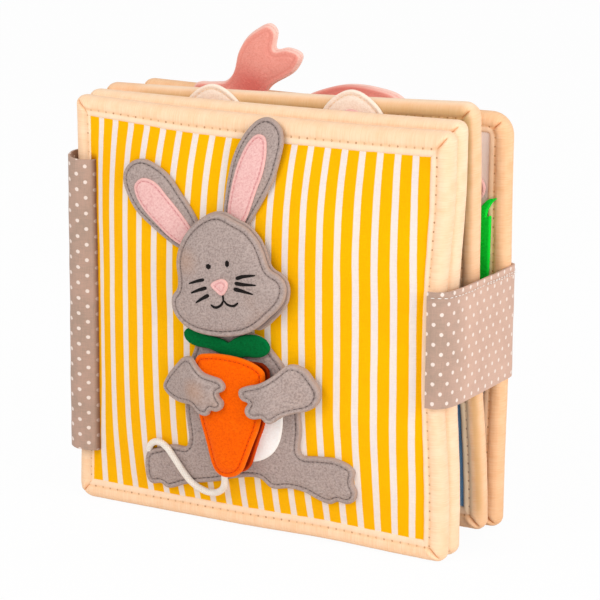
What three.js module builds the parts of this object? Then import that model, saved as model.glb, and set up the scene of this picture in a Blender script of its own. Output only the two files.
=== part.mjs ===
import * as THREE from 'three';

// A cloth quiet book that stands on its lower edges: four padded leaves, a spine band, a closing
// strap, and a felt rabbit on the cover that holds a stuffed carrot on a cord.
// Millimetres. X runs from the spine to the fore-edge, Y from the cover to the back, Z is up.

// Leaves
const LEAF_W = 200;
const LEAF_H = 200;
const WADDING_T = 6;
const CLOTH_T = 0.8;
const TAPE_T = 0.9;
const GAP = 0.3;
const BINDING_W = 9;
const CORNER_BLUNT = 1.8;
const CORNER_RUN = 2;
const COVER_CROWN = 6;
const PAGE_CROWN = 0.9;
const CROWN_RAMP = 30;

// How the leaves stand
const LEAF_SLACK = 0.4;
const PAGE_SLACK = 0.5;
const THIRD_LEAN = 17;
const THIRD_LIFT = 3;
const BACK_ROOM = 6.4;

// Spine band and hinge tapes
const BAND_T = 1;
const BAND_FLAP = 13.5;
const BAND_LOW = 25;
const BAND_HIGH = 170;
const BAND_ROUND = 2.5;
const HINGE_TAPE_T = 3;
const HINGE_TAPE_L = 1.4;

// Strap
const STRAP_T = 1;
const STRAP_W = 54;
const STRAP_LOW = 73;
const STRAP_TAB = 12;
const STRAP_ANCHOR = 14;
const STRAP_CLEAR = 0.8;
const PATCH_T = 1;
const PATCH_L = 8;
const PATCH_MARGIN = 2;
const PATCH_END = 5;

// Felt rabbit, and how far it is moved on the cover from where its outlines are drawn
const FIGURE_X = 1.7;
const FIGURE_Z = 0.8;
const BODY_T = 3;
const BELLY_T = 1;
const EAR_T = 2.5;
const TRIM_T = 0.8;
const ARM_T = 2.5;
const FELT_T = 1.2;
const HEAD_SWELL = 5.2;
const HEAD_INSET = 1;
const CHIN_Z = 95.8;
const CHIN_CLEAR = 3;
const ARM_CLEAR = 0.5;

// Carrot and cord
const CARROT_W = 37.4;
const CARROT_L = 58.5;
const CARROT_UNDER_CHIN = 8.8;
const CARROT_X = 94;
const CARROT_SWELL = 7.1;
const CARROT_LEAF_T = 1;
const CARROT_LEAF_H = 12;
const CARROT_LEAF_SLACK = 2.4;
const CORD_D = 3;
const TACK_R = 1.9;
const TACK_H = 1.5;

// Felt figures on the pages
const PAGE_FELT_T = 1.5;
const WHALE_T = 2;
const WHALE_STEP = 1.5;
const TUFT_T = 1.5;

// Worked out from the sizes above
const PANEL_EDGE = WADDING_T / 2 + GAP + CLOTH_T;
const BINDING_R = PANEL_EDGE + GAP + TAPE_T;
const BINDING_T = 2 * BINDING_R;
const FLAT_CORNER = Math.cos(Math.PI / 10);
const POCKET_R = BINDING_R - TAPE_T;
const FACET_TURN = THREE.MathUtils.degToRad(54);
const FACET_SHARE = (PANEL_EDGE / POCKET_R - Math.sin(FACET_TURN)) / (1 - Math.sin(FACET_TURN));
const POCKET_IN = BINDING_R * FLAT_CORNER - POCKET_R * Math.cos(FACET_TURN) * (1 - FACET_SHARE);
const SHEET_INSET = POCKET_IN + CORNER_BLUNT + GAP;
const PLATEAU = PANEL_EDGE + COVER_CROWN;
const SECOND_Y = BINDING_T + LEAF_SLACK;
const THIRD_TOP_Y = SECOND_Y + BINDING_T + 3 * GAP + PAGE_FELT_T + TRIM_T + PAGE_SLACK;
const THIRD_Y = THIRD_TOP_Y + THIRD_LEAN / 2;
const BACK_Y = THIRD_TOP_Y + THIRD_LEAN + BINDING_T + BACK_ROOM;
const BAND_X = -(HINGE_TAPE_L + 2 * GAP);
const CARROT_TOP = CHIN_Z - CARROT_UNDER_CHIN;

const CLOTH = { stripe: 0xffc23a, peach: 0xf7d3a4, taupe: 0xbea596, lining: 0xcdb9b2, denim: 0x50789b };
const FELT = { grey: 0xa59b98, pink: 0xf0c3c3, white: 0xfaf5f0, orange: 0xff6e0a, green: 0x006e37 };
const TOY = { cream: 0xf5e1d2, rose: 0xeb968c, grass: 0x0fb42d, cotton: 0xf4efe6, fill: 0xf2efe9 };

const clothLook = (color) => new THREE.MeshStandardMaterial({ color, roughness: 0.95, metalness: 0 });

function piece(name, geometry, color, parent, position = [0, 0, 0]) {
  const mesh = new THREE.Mesh(geometry, clothLook(color));
  mesh.name = name;
  mesh.position.set(...position);
  parent.add(mesh);
  return mesh;
}

// Builds a closed skin from points and triangles, and turns it so that its faces point out.
function closedSkin(points, triangles) {
  const corner = (i) => new THREE.Vector3(...points[i]);
  let volume = 0;
  for (const [a, b, c] of triangles) {
    volume += corner(a).dot(corner(b).cross(corner(c)));
  }
  const facing = volume > 0 ? triangles : triangles.map(([a, b, c]) => [a, c, b]);
  const geometry = new THREE.BufferGeometry();
  geometry.setAttribute('position', new THREE.Float32BufferAttribute(points.flat(), 3));
  geometry.setIndex(facing.flat());
  geometry.computeVertexNormals();
  return geometry;
}

// Joins the same point of neighbouring rings by two triangles a step.
function bridge(triangles, first, second, count) {
  for (let i = 0; i < count; i += 1) {
    const j = (i + 1) % count;
    triangles.push([first + i, first + j, second + j], [first + i, second + j, second + i]);
  }
}

// Lofts rings from one pole to the other.
function loftBetweenPoles(rings, firstPole, lastPole) {
  const count = rings[0].length;
  const points = [firstPole, ...rings.flat(), lastPole];
  const triangles = [];
  for (let i = 0; i < count; i += 1) {
    triangles.push([0, 1 + ((i + 1) % count), 1 + i]);
  }
  for (let r = 0; r + 1 < rings.length; r += 1) {
    bridge(triangles, 1 + r * count, 1 + (r + 1) * count, count);
  }
  const last = 1 + (rings.length - 1) * count;
  for (let i = 0; i < count; i += 1) {
    triangles.push([points.length - 1, last + i, last + ((i + 1) % count)]);
  }
  return closedSkin(points, triangles);
}

// Smooth outline through a few points, as points of a closed shape in x and z.
function smooth(points, steps = 3) {
  const through = points.map(([x, z]) => new THREE.Vector3(x, z, 0));
  const curve = new THREE.CatmullRomCurve3(through, true, 'centripetal');
  return curve.getPoints(points.length * steps).slice(0, -1).map((p) => [p.x, p.y]);
}

// Flat felt whose outline lies in x and z, with its back at y = 0 and its front towards -Y.
function felt(outline, thickness) {
  const shape = new THREE.Shape(outline.map(([x, z]) => new THREE.Vector2(x, z)));
  const geometry = new THREE.ExtrudeGeometry(shape, { depth: thickness, bevelEnabled: false });
  return geometry.rotateX(Math.PI / 2);
}

function centreOf(outline) {
  const sum = outline.reduce(([a, b], [x, z]) => [a + x, b + z], [0, 0]);
  return sum.map((v) => v / outline.length);
}

// Draws an outline towards its centre, by a distance measured on its mean radius.
function drawnIn(outline, distance) {
  const [cx, cz] = centreOf(outline);
  const mean = outline.reduce((s, [x, z]) => s + Math.hypot(x - cx, z - cz), 0) / outline.length;
  const share = 1 - distance / mean;
  return outline.map(([x, z]) => [cx + (x - cx) * share, cz + (z - cz) * share]);
}

// Height of a stuffed felt over its rim, at a share of the way from the middle to the rim.
const RINGS = [1, 0.98, 0.93, 0.82, 0.62, 0.34];
const swellAt = (share, height) => height * (1 - share ** 3) ** 0.6;

function swollenRings(outline, height) {
  const [cx, cz] = centreOf(outline);
  return RINGS.map((share) => outline.map(([x, z]) => [
    cx + (x - cx) * share,
    -swellAt(share, height),
    cz + (z - cz) * share,
  ]));
}

// Filling with a flat back, and the felt cap that lies over it.
function stuffing(outline, height) {
  const [cx, cz] = centreOf(outline);
  return loftBetweenPoles(swollenRings(outline, height), [cx, 0, cz], [cx, -height, cz]);
}

function feltCap(outline, height) {
  const [cx, cz] = centreOf(outline);
  const inside = swollenRings(drawnIn(outline, FELT_T), height - FELT_T).reverse();
  const rings = [...inside, ...swollenRings(outline, height)];
  return loftBetweenPoles(rings, [cx, FELT_T - height, cz], [cx, -height, cz]);
}

// Rise of a padded face, from nothing at the binding to its full crown a ramp further in.
const RAMP_STEPS = 3;
const rampShare = (step) => THREE.MathUtils.smoothstep(step / RAMP_STEPS, 0, 1);

function riseAlong(v, length) {
  const inside = THREE.MathUtils.clamp(Math.min(v, length - v) - BINDING_W, 0, CROWN_RAMP);
  const place = (inside / CROWN_RAMP) * RAMP_STEPS;
  const step = Math.min(Math.floor(place), RAMP_STEPS - 1);
  return THREE.MathUtils.lerp(rampShare(step), rampShare(step + 1), place - step);
}

const riseAt = (x, z) => riseAlong(x, LEAF_W) * riseAlong(z, LEAF_H);

function crownLines(length) {
  const near = [SHEET_INSET];
  for (let step = 0; step <= RAMP_STEPS; step += 1) {
    near.push(BINDING_W + (CROWN_RAMP * step) / RAMP_STEPS);
  }
  return [...near, ...near.map((v) => length - v).reverse()];
}

// How far off the middle plane a flat piece lies that reaches from a leaf's edge in to x.
const seatOver = (x) => Math.max(BINDING_R, PANEL_EDGE + COVER_CROWN * riseAlong(x, LEAF_W)) + GAP;

// Sheet of cloth or wadding between two faces, each a level and a crown.
function paddedSheet(front, back) {
  const xs = crownLines(LEAF_W);
  const zs = crownLines(LEAF_H);
  const points = [];
  for (const face of [front, back]) {
    for (const x of xs) {
      for (const z of zs) {
        points.push([x, face.level + face.crown * riseAt(x, z), z]);
      }
    }
  }
  const at = (side, i, j) => (side * xs.length + i) * zs.length + j;
  const triangles = [];
  for (let i = 0; i + 1 < xs.length; i += 1) {
    for (let j = 0; j + 1 < zs.length; j += 1) {
      const quad = (s) => [at(s, i, j), at(s, i + 1, j), at(s, i + 1, j + 1), at(s, i, j + 1)];
      const [a, b, c, d] = quad(0);
      triangles.push([a, b, c], [a, c, d]);
      const [e, f, g, h] = quad(1);
      triangles.push([e, g, f], [e, h, g]);
    }
  }
  const rim = [];
  for (let i = 0; i + 1 < xs.length; i += 1) rim.push([i, 0]);
  for (let j = 0; j + 1 < zs.length; j += 1) rim.push([xs.length - 1, j]);
  for (let i = xs.length - 1; i > 0; i -= 1) rim.push([i, zs.length - 1]);
  for (let j = zs.length - 1; j > 0; j -= 1) rim.push([0, j]);
  rim.forEach(([i, j], k) => {
    const [m, n] = rim[(k + 1) % rim.length];
    triangles.push([at(0, i, j), at(1, i, j), at(1, m, n)], [at(0, i, j), at(1, m, n), at(0, m, n)]);
  });
  return closedSkin(points, triangles);
}

// Binding section: how far in from the leaf's edge, and how far off its middle plane.
function bindingSection() {
  const turns = [-90, -54, -18, 18, 54, 90].map((d) => THREE.MathUtils.degToRad(d));
  const arc = (radius) => turns.map((t) => [
    BINDING_R * FLAT_CORNER - radius * Math.cos(t),
    radius * Math.sin(t),
  ]);
  const outer = [[BINDING_W, -BINDING_R], ...arc(BINDING_R), [BINDING_W, BINDING_R]];
  const inner = [[BINDING_W, -POCKET_R], ...arc(POCKET_R), [BINDING_W, POCKET_R]];
  return [...outer, ...inner.reverse()];
}

// Binding all round a leaf, mitred at blunt corners.
function binding() {
  const section = bindingSection();
  const run = BINDING_W + CORNER_RUN;
  const place = (corner, n) => {
    const blunt = n + CORNER_BLUNT * (1 - n / BINDING_W);
    const [a, b] = { before: [n, run], mitre: [blunt, blunt], after: [run, n] }[corner];
    return [a, b];
  };
  const corners = [
    (a, b) => [a, b],
    (a, b) => [LEAF_W - b, a],
    (a, b) => [LEAF_W - a, LEAF_H - b],
    (a, b) => [b, LEAF_H - a],
  ];
  const points = [];
  for (const turn of corners) {
    for (const corner of ['before', 'mitre', 'after']) {
      for (const [n, y] of section) {
        const [x, z] = turn(...place(corner, n));
        points.push([x, y, z]);
      }
    }
  }
  const stations = corners.length * 3;
  const triangles = [];
  for (let s = 0; s < stations; s += 1) {
    bridge(triangles, s * section.length, ((s + 1) % stations) * section.length, section.length);
  }
  return closedSkin(points, triangles);
}

// One leaf about its middle plane: wadding between a front panel and a back panel, bound all round.
function leaf(name, group, crowns, colours) {
  const half = WADDING_T / 2;
  const frontFace = (level) => ({ level: -level, crown: -crowns.front });
  const backFace = (level) => ({ level, crown: crowns.back });
  piece(`${name}_wadding`, paddedSheet(frontFace(half), backFace(half)), TOY.fill, group);
  const inner = half + GAP;
  const frontPanel = paddedSheet(frontFace(PANEL_EDGE), frontFace(inner));
  piece(`${name}_front_panel`, frontPanel, colours.front, group);
  const backPanel = paddedSheet(backFace(inner), backFace(PANEL_EDGE));
  piece(`${name}_back_panel`, backPanel, colours.back, group);
  piece(`${name}_binding`, binding(), CLOTH.peach, group);
}

const book = new THREE.Group();
const page = (y, z = 0) => {
  const group = new THREE.Group();
  group.position.set(0, y, z);
  book.add(group);
  return group;
};

const cover = page(0);
const plainPage = { front: CLOTH.lining, back: CLOTH.lining };
const pressed = PAGE_CROWN / 2;
leaf('front_cover', cover, { front: COVER_CROWN, back: pressed }, { ...plainPage, front: CLOTH.stripe });
const second = page(SECOND_Y);
leaf('second_leaf', second, { front: pressed, back: PAGE_CROWN }, { ...plainPage, back: CLOTH.denim });

// The third leaf leans forward about its middle, and hangs a little off the floor.
const thirdMiddle = page(THIRD_Y, THIRD_LIFT + LEAF_H / 2);
thirdMiddle.rotation.x = Math.asin(THIRD_LEAN / LEAF_H);
const third = new THREE.Group();
third.position.z = -LEAF_H / 2;
thirdMiddle.add(third);
leaf('third_leaf', third, { front: PAGE_CROWN, back: PAGE_CROWN }, { ...plainPage, front: CLOTH.denim });
const back = page(BACK_Y);
leaf('back_leaf', back, { front: PAGE_CROWN, back: COVER_CROWN }, { ...plainPage, back: CLOTH.stripe });

// Hinge tapes between the two middle leaves and the spine band
const tapeH = BAND_HIGH - BAND_LOW;
for (const [name, group] of [['second_hinge_tape', second], ['third_hinge_tape', third]]) {
  const tape = new THREE.BoxGeometry(HINGE_TAPE_L, HINGE_TAPE_T, tapeH);
  piece(name, tape, CLOTH.taupe, group, [-GAP - HINGE_TAPE_L / 2, 0, BAND_LOW + tapeH / 2]);
}

// Spine band, from its flap on the cover round the spine to its flap on the back
function bandOutline() {
  const front = -seatOver(BAND_FLAP);
  const rear = BACK_Y + seatOver(BAND_FLAP);
  const path = (shape, off, round) => {
    shape.lineTo(BAND_X - off + round, front - off);
    shape.quadraticCurveTo(BAND_X - off, front - off, BAND_X - off, front - off + round);
    shape.lineTo(BAND_X - off, rear + off - round);
    shape.quadraticCurveTo(BAND_X - off, rear + off, BAND_X - off + round, rear + off);
    shape.lineTo(BAND_FLAP, rear + off);
  };
  const outer = new THREE.Path().moveTo(BAND_FLAP, front - BAND_T);
  path(outer, BAND_T, BAND_ROUND + BAND_T);
  const inner = new THREE.Path().moveTo(BAND_FLAP, front);
  path(inner, 0, BAND_ROUND);
  return new THREE.Shape([...outer.getPoints(3), ...inner.getPoints(3).reverse()]);
}

const band = new THREE.ExtrudeGeometry(bandOutline(), { depth: tapeH, bevelEnabled: false });
piece('spine_band', band, CLOTH.taupe, book, [0, 0, BAND_LOW]);

// Closing strap: anchor on the back, run across the fore-edges, tab with hook patch on the cover
const strapIn = LEAF_W + STRAP_CLEAR;
const strapOut = strapIn + STRAP_T;
const tabEnd = LEAF_W - STRAP_TAB;
const patchFront = seatOver(tabEnd);
const tabBack = patchFront + 2 * (PATCH_T + GAP);
const anchorEnd = LEAF_W - STRAP_ANCHOR;
const anchorFront = BACK_Y + seatOver(anchorEnd);
const slab = (x0, x1, y0, y1, z0, z1) => {
  const box = new THREE.BoxGeometry(x1 - x0, y1 - y0, z1 - z0);
  return box.translate((x0 + x1) / 2, (y0 + y1) / 2, (z0 + z1) / 2);
};
const strapTop = STRAP_LOW + STRAP_W;
const strapPiece = (name, x0, x1, y0, y1) => {
  piece(name, slab(x0, x1, y0, y1, STRAP_LOW, strapTop), CLOTH.taupe, book);
};
strapPiece('strap_anchor', anchorEnd, strapOut, anchorFront, anchorFront + STRAP_T);
strapPiece('strap_side', strapIn, strapOut, -tabBack + GAP, anchorFront - GAP);
strapPiece('strap_tab', tabEnd, strapOut, -tabBack - STRAP_T, -tabBack);
const patchPiece = (name, front) => {
  const x0 = tabEnd + PATCH_MARGIN;
  const z0 = STRAP_LOW + PATCH_END;
  const z1 = strapTop - PATCH_END;
  piece(name, slab(x0, x0 + PATCH_L, -front - PATCH_T, -front, z0, z1), TOY.cotton, book);
};
patchPiece('loop_patch', patchFront);
patchPiece('hook_patch', patchFront + PATCH_T + GAP);

// Felt rabbit on the cover's crown. Levels count outwards from the cover's middle plane.
const bodyBack = PLATEAU + GAP;
const bellyBack = bodyBack + BODY_T + GAP;
const carrotBack = bellyBack + BELLY_T + GAP;
const headFront = carrotBack + CARROT_LEAF_T + CARROT_LEAF_SLACK;
const figure = new THREE.Group();
figure.position.set(FIGURE_X, 0, FIGURE_Z);
cover.add(figure);
const onCover = (name, geometry, color, level) => piece(name, geometry, color, figure, [0, -level, 0]);

const fromChin = (points) => points.map(([x, z]) => [x, CHIN_Z + z]);

const BODY = smooth([
  [72, 97], [69, 87], [66, 72], [65.5, 57], [66, 44], [63, 36.5], [54, 35.5], [48.4, 32], [46.8, 27.5],
  [42.6, 26], [42, 20], [45, 15.2], [50, 16.4], [54.4, 14.1], [60, 15.6], [68, 19.6], [85, 22.2],
  [96, 26], [106, 27.2], [113, 23.8], [121, 24.1], [130, 24], [137, 21.6], [144, 20.6], [148, 22.4],
  [153, 21.8], [157.3, 25.5], [156.8, 31], [155.6, 34], [155.8, 38], [152, 41.4], [144, 43.3],
  [134, 42], [128, 43.5], [127.6, 53], [126.5, 64], [123, 78], [117, 86], [110, 92.5], [105, 97],
], 2);
onCover('rabbit_body', felt(BODY, BODY_T), FELT.grey, bodyBack);

const BELLY = smooth([
  [78, 88], [106, 86], [115, 70], [116.5, 54], [111, 41], [99, 34], [85, 36], [76, 50], [74, 70],
]);
onCover('rabbit_belly', felt(BELLY, BELLY_T), FELT.white, bellyBack);

const HEAD = smooth(fromChin([
  [66.2, 40.2], [66.4, 28.2], [67.6, 22.8], [64.2, 17.6], [62.8, 11.2], [67, 5.8], [75, 2.2], [86, 0],
  [97, 0.8], [109, 5.6], [119.6, 12.8], [123, 20.2], [121.4, 28.2], [115.4, 34.2], [111.4, 40.6],
  [106.4, 48.2], [101.2, 52.6], [95, 56], [88, 57.8], [80.4, 55.6], [74.4, 50.6], [69.4, 44.8],
]), 2);
const chinLine = CARROT_TOP + GAP + CARROT_LEAF_H + CHIN_CLEAR;
const headBackOutline = drawnIn(HEAD, HEAD_INSET).map(([x, z]) => [x, Math.max(z, chinLine)]);
const distinct = headBackOutline.filter(([x, z], i, all) => {
  const [px, pz] = all[(i + all.length - 1) % all.length];
  const nz = all[(i + 1) % all.length][1];
  return !(z === chinLine && pz === chinLine && nz === chinLine) && Math.hypot(x - px, z - pz) > 0.01;
});
const headFiller = headFront - GAP - bellyBack;
onCover('rabbit_head_back', felt(distinct, headFiller), FELT.grey, bellyBack);
onCover('rabbit_head_front', feltCap(HEAD, HEAD_SWELL), FELT.grey, headFront);
const headFill = drawnIn(HEAD, FELT_T + 3 * GAP);
onCover('rabbit_head_stuffing', stuffing(headFill, HEAD_SWELL - FELT_T - GAP), TOY.fill, headFront);
const NOSE = smooth(fromChin([
  [84.8, 26.8], [89.5, 28.4], [92.6, 27.6], [91.8, 23.6], [89.6, 21.6], [86.8, 23.6],
]));
onCover('rabbit_nose', felt(NOSE, TRIM_T), FELT.pink, headFront + HEAD_SWELL + GAP);

// Ears: each root lies just clear of the head's edge.
const EARS = {
  left: {
    outer: [
      [71.5, 51.7], [65.2, 40], [60, 37.7], [48, 43.7], [38, 53.2], [32, 61.2], [30.4, 68.2],
      [33, 74.7], [39, 77.2], [47, 75.4], [58, 67.2], [67, 56.8],
    ],
    inner: [
      [66, 49.4], [61.5, 41.4], [50, 46.2], [40, 56.2], [36.2, 64.2], [38.6, 68], [50, 64.7], [60, 56.2],
    ],
  },
  right: {
    outer: [
      [86.5, 58.7], [87.2, 69.2], [89.5, 78.2], [93.4, 88.3], [97, 95.2], [101.6, 100.6], [107.6, 103.4],
      [113.4, 101.6], [116.4, 96.8], [115.8, 89.2], [112.4, 78.2], [107.8, 67.2], [103.4, 58.8],
      [100.5, 54.7],
    ],
    inner: [
      [89.4, 60.2], [90.6, 72.2], [94, 83.7], [99, 92.2], [104.5, 95.4], [108, 91.8], [107.4, 83.2],
      [103.4, 70.2], [98.4, 58.2],
    ],
  },
};
for (const [side, ear] of Object.entries(EARS)) {
  onCover(`rabbit_${side}_ear`, felt(smooth(fromChin(ear.outer), 2), EAR_T), FELT.grey, bodyBack);
  const inner = felt(smooth(fromChin(ear.inner), 2), TRIM_T);
  onCover(`rabbit_${side}_inner_ear`, inner, FELT.pink, bodyBack + EAR_T + GAP);
}

// Carrot outline: half its width at a share of the way from its top to its tip
function carrotHalfWidth(share) {
  const shoulder = 0.09;
  const top = share < shoulder ? (1 - (1 - share / shoulder) ** 2.5) ** 0.4 : 1;
  return (CARROT_W / 2) * top * (1 - share ** 2.2) ** 0.6;
}

function carrotOutline() {
  const shares = [0.004, 0.03, 0.08, 0.18, 0.3, 0.42, 0.54, 0.66, 0.77, 0.86, 0.93, 0.98, 0.998];
  const right = shares.map((s) => [CARROT_X + carrotHalfWidth(s), CARROT_TOP - s * CARROT_L]);
  const left = right.map(([x, z]) => [2 * CARROT_X - x, z]).reverse();
  return [...right, ...left];
}

const carrotRim = carrotOutline();
const carrotFront = carrotBack + FELT_T + GAP;
onCover('carrot_back', felt(carrotRim, FELT_T), FELT.orange, carrotBack);
onCover('carrot_front', feltCap(carrotRim, CARROT_SWELL), FELT.orange, carrotFront);
const carrotFill = drawnIn(carrotRim, FELT_T + 3 * GAP);
onCover('carrot_stuffing', stuffing(carrotFill, CARROT_SWELL - FELT_T - GAP), TOY.fill, carrotFront);

// The two lobes of the carrot's leaves stand on its top edge and reach under the chin:
// how far from the carrot's middle, and what share of their height.
const lobe = CARROT_TOP + GAP;
const LOBES = [
  [-4, 0.02], [-20, 0.1], [-26.4, 0.5], [-22, 0.9], [-10, 0.95],
  [-2, 0.75], [9, 1], [17, 0.83], [19.4, 0.45], [14, 0.1],
];
const LEAVES = smooth(LOBES.map(([x, share]) => [CARROT_X + x, lobe + CARROT_LEAF_H * share]))
  .map(([x, z]) => [x, Math.max(z, lobe)]);
onCover('carrot_leaves', felt(LEAVES, CARROT_LEAF_T), FELT.green, carrotBack);

// Arms: flat felts sewn at their outer ends, tilted so that they lie over the carrot.
// Each outline is how far from the sewn end, and how high.
const ARMS = {
  left: {
    hinge: 54.5,
    outline: [
      [0.2, 67], [4.6, 61.6], [13.3, 60], [21, 59.6], [27.9, 58.5], [32.2, 60.6], [38.5, 62], [43.4, 64.6],
      [44.6, 67.2], [41, 69.3], [44.8, 73.2], [44.4, 76.2], [39.5, 77.7], [32.2, 77.4], [25, 79], [20, 82],
      [14.8, 80.8], [8, 77.4], [2.4, 73],
    ],
  },
  right: {
    hinge: 137,
    outline: [
      [0.2, 72], [4.7, 64.9], [11.7, 61.7], [19.6, 58.6], [25, 58.6], [28.4, 60], [32, 61.2], [34.3, 64.4],
      [32.2, 67.2], [35.4, 69.6], [36.8, 73], [32, 75.2], [24, 78.5], [18.7, 83.5], [13.5, 86.2], [8.2, 85],
      [3.8, 81],
    ],
  },
};

function armTilt(hinge, reach) {
  let tilt = 0;
  for (let share = 0; share < 1; share += 0.05) {
    const edge = CARROT_X + Math.sign(hinge - CARROT_X) * share * (CARROT_W / 2);
    const rise = carrotFront + swellAt(share, CARROT_SWELL) + ARM_CLEAR - bodyBack;
    const away = Math.abs(hinge - edge);
    if (away < reach) tilt = Math.max(tilt, Math.atan2(rise, away));
  }
  return tilt;
}

for (const [side, arm] of Object.entries(ARMS)) {
  const inward = side === 'left' ? 1 : -1;
  const reach = Math.max(...arm.outline.map(([u]) => u));
  const holder = new THREE.Group();
  holder.position.set(arm.hinge, -bodyBack, 0);
  holder.rotation.z = -inward * armTilt(arm.hinge, reach);
  figure.add(holder);
  const outline = smooth(arm.outline.map(([u, z]) => [inward * u, z]), 2);
  piece(`rabbit_${side}_arm`, felt(outline, ARM_T), FELT.grey, holder);
}

// Cord from its tack by the left foot, over the leg, to the carrot's tip. Depths count outwards
// from the face that the rabbit lies on.
const tackDepth = bodyBack + TACK_R;
const TACK_AT = [44, 28.2];
const tack = new THREE.CylinderGeometry(TACK_R, TACK_R, TACK_H, 12).rotateX(Math.PI / 2);
piece('cord_tack', tack, TOY.cotton, figure, [TACK_AT[0], -tackDepth, TACK_AT[1] + TACK_H / 2]);
const overLeg = bodyBack + BODY_T + GAP + CORD_D / 2;
const cordStart = TACK_AT[1] + TACK_H + GAP;
const tipZ = CARROT_TOP - CARROT_L;
const CORD = [
  [TACK_AT[0], tackDepth, cordStart],
  [TACK_AT[0] + 0.3, tackDepth + 0.1, cordStart + 2.5],
  [46.2, tackDepth + 1, 36.4], [50.4, overLeg - 0.2, 39], [55, overLeg + 0.2, 37.8],
  [59.4, overLeg + 0.3, 33.6], [65, overLeg + 0.3, 26.6], [71.6, overLeg + 0.2, 20.2],
  [79.2, overLeg, 16.4], [86.2, overLeg + 0.9, 16.6], [91.4, carrotFront - 1, 20],
  [CARROT_X - 0.6, carrotFront, tipZ - 3.4],
  [CARROT_X - 0.4, carrotFront, tipZ - GAP],
].map(([x, depth, z]) => new THREE.Vector3(x, -depth, z));
const cordPath = new THREE.CatmullRomCurve3(CORD, false, 'centripetal');
const cordSection = new THREE.Shape();
for (let i = 0; i < 8; i += 1) {
  const turn = (i / 8) * 2 * Math.PI;
  const method = i === 0 ? 'moveTo' : 'lineTo';
  cordSection[method]((CORD_D / 2) * Math.cos(turn), (CORD_D / 2) * Math.sin(turn));
}
cordSection.closePath();
const cordRun = { steps: 30, bevelEnabled: false, extrudePath: cordPath };
const cord = new THREE.ExtrudeGeometry(cordSection, cordRun);
piece('carrot_cord', cord, TOY.cotton, figure);

// Figure on the third leaf: a round head with a muzzle, whose ears stand above the leaf's edge
const pageLevel = BINDING_R + GAP;
const disc = (cx, cz, rx, rz, count = 24) => Array.from({ length: count }, (_, i) => {
  const turn = (i / count) * 2 * Math.PI;
  return [cx + rx * Math.cos(turn), cz + rz * Math.sin(turn)];
});
const BEAR = { x: 101, z: LEAF_H - 62, rx: 50, rz: 44, ear: 15, earX: 36.5, earZ: LEAF_H - 6 };
function bearFelt(name, outline, thickness, color, level) {
  piece(name, felt(outline, thickness), color, third, [0, -level, 0]);
}
bearFelt('bear_head', disc(BEAR.x, BEAR.z, BEAR.rx, BEAR.rz, 32), PAGE_FELT_T, TOY.cream, pageLevel);
const trimLevel = pageLevel + PAGE_FELT_T + GAP;
const muzzle = disc(BEAR.x, BEAR.z - BEAR.rz / 3, BEAR.rx / 3, BEAR.rz / 4);
bearFelt('bear_muzzle', muzzle, TRIM_T, FELT.white, trimLevel);
for (const [side, way] of [['left', -1], ['right', 1]]) {
  const cx = BEAR.x + way * BEAR.earX;
  const cz = BEAR.earZ;
  const headTop = (x) => BEAR.z + BEAR.rz * Math.sqrt(Math.max(0, 1 - ((x - BEAR.x) / BEAR.rx) ** 2));
  const clear = (outline) => outline.map(([x, z]) => [x, Math.max(z, headTop(x) + 2 * GAP)]);
  bearFelt(`bear_${side}_ear`, clear(disc(cx, cz, BEAR.ear, BEAR.ear)), PAGE_FELT_T, TOY.cream, pageLevel);
  const innerEar = clear(disc(cx, cz, BEAR.ear / 2, BEAR.ear / 2));
  bearFelt(`bear_${side}_inner_ear`, innerEar, TRIM_T, FELT.pink, trimLevel);
}

// Figure on the back leaf: a sea animal in two felts, with its tail above the leaf's edge
const fromTop = (points) => points.map(([x, z]) => [x, LEAF_H + z]);
const WHALE = smooth(fromTop([
  [28, -35], [30, -14], [37, 1], [52, 4], [57, 9], [59.5, 19], [63.5, 26], [69.5, 31], [76.5, 33.2],
  [80.6, 29.6], [80, 22], [87, 22.4], [94, 19.4], [90.4, 11.6], [80, 4], [88, 0], [100, 1],
  [109, 5.4], [121, 7.6], [137, 6.8], [149, 3], [157, -10], [158, -32], [146, -58], [116, -76],
  [78, -78], [44, -62],
]), 2);
const whaleBack = BINDING_R + GAP;
piece('whale_back', felt(WHALE, WHALE_T), TOY.rose, back, [0, -whaleBack, 0]);
const whaleFront = whaleBack + WHALE_T + GAP;
piece('whale_front', felt(drawnIn(WHALE, WHALE_STEP), WHALE_T), TOY.rose, back, [0, -whaleFront, 0]);

// Grass tuft and flower near the back leaf's fore-edge
const fromCorner = (points) => fromTop(points).map(([x, z]) => [LEAF_W + x, z]);
const TUFT = [
  [-34, -81], [-5, -81], [-4, -39], [-10, -60], [-14, -42], [-19, -62], [-24, -48], [-28, -64], [-33, -54],
];
piece('grass_tuft', felt(fromCorner(TUFT), TUFT_T), TOY.grass, back, [0, -whaleBack, 0]);
const onPanel = PANEL_EDGE + PAGE_CROWN + GAP;
piece('flower', felt(fromCorner(disc(-17, -32, 7, 7, 20)), TUFT_T), FELT.pink, back, [0, -onPanel, 0]);

// The origin is the middle of the book's box on the floor.
book.updateMatrixWorld(true);
const box = new THREE.Box3().setFromObject(book);
const part = new THREE.Group();
book.position.set(-(box.min.x + box.max.x) / 2, -(box.min.y + box.max.y) / 2, -box.min.z);
part.add(book);
part.updateMatrixWorld(true);

export default part;
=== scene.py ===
"""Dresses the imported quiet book: padded cloth leaves, a dotted spine band and strap, and a felt rabbit."""

from __future__ import annotations

import logging
import math
from dataclasses import dataclass, field
from enum import Enum
from typing import Callable, Mapping, Sequence

import bmesh
import bpy
import numpy as np
from mathutils import Matrix, Vector
from mathutils.geometry import delaunay_2d_cdt

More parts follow.
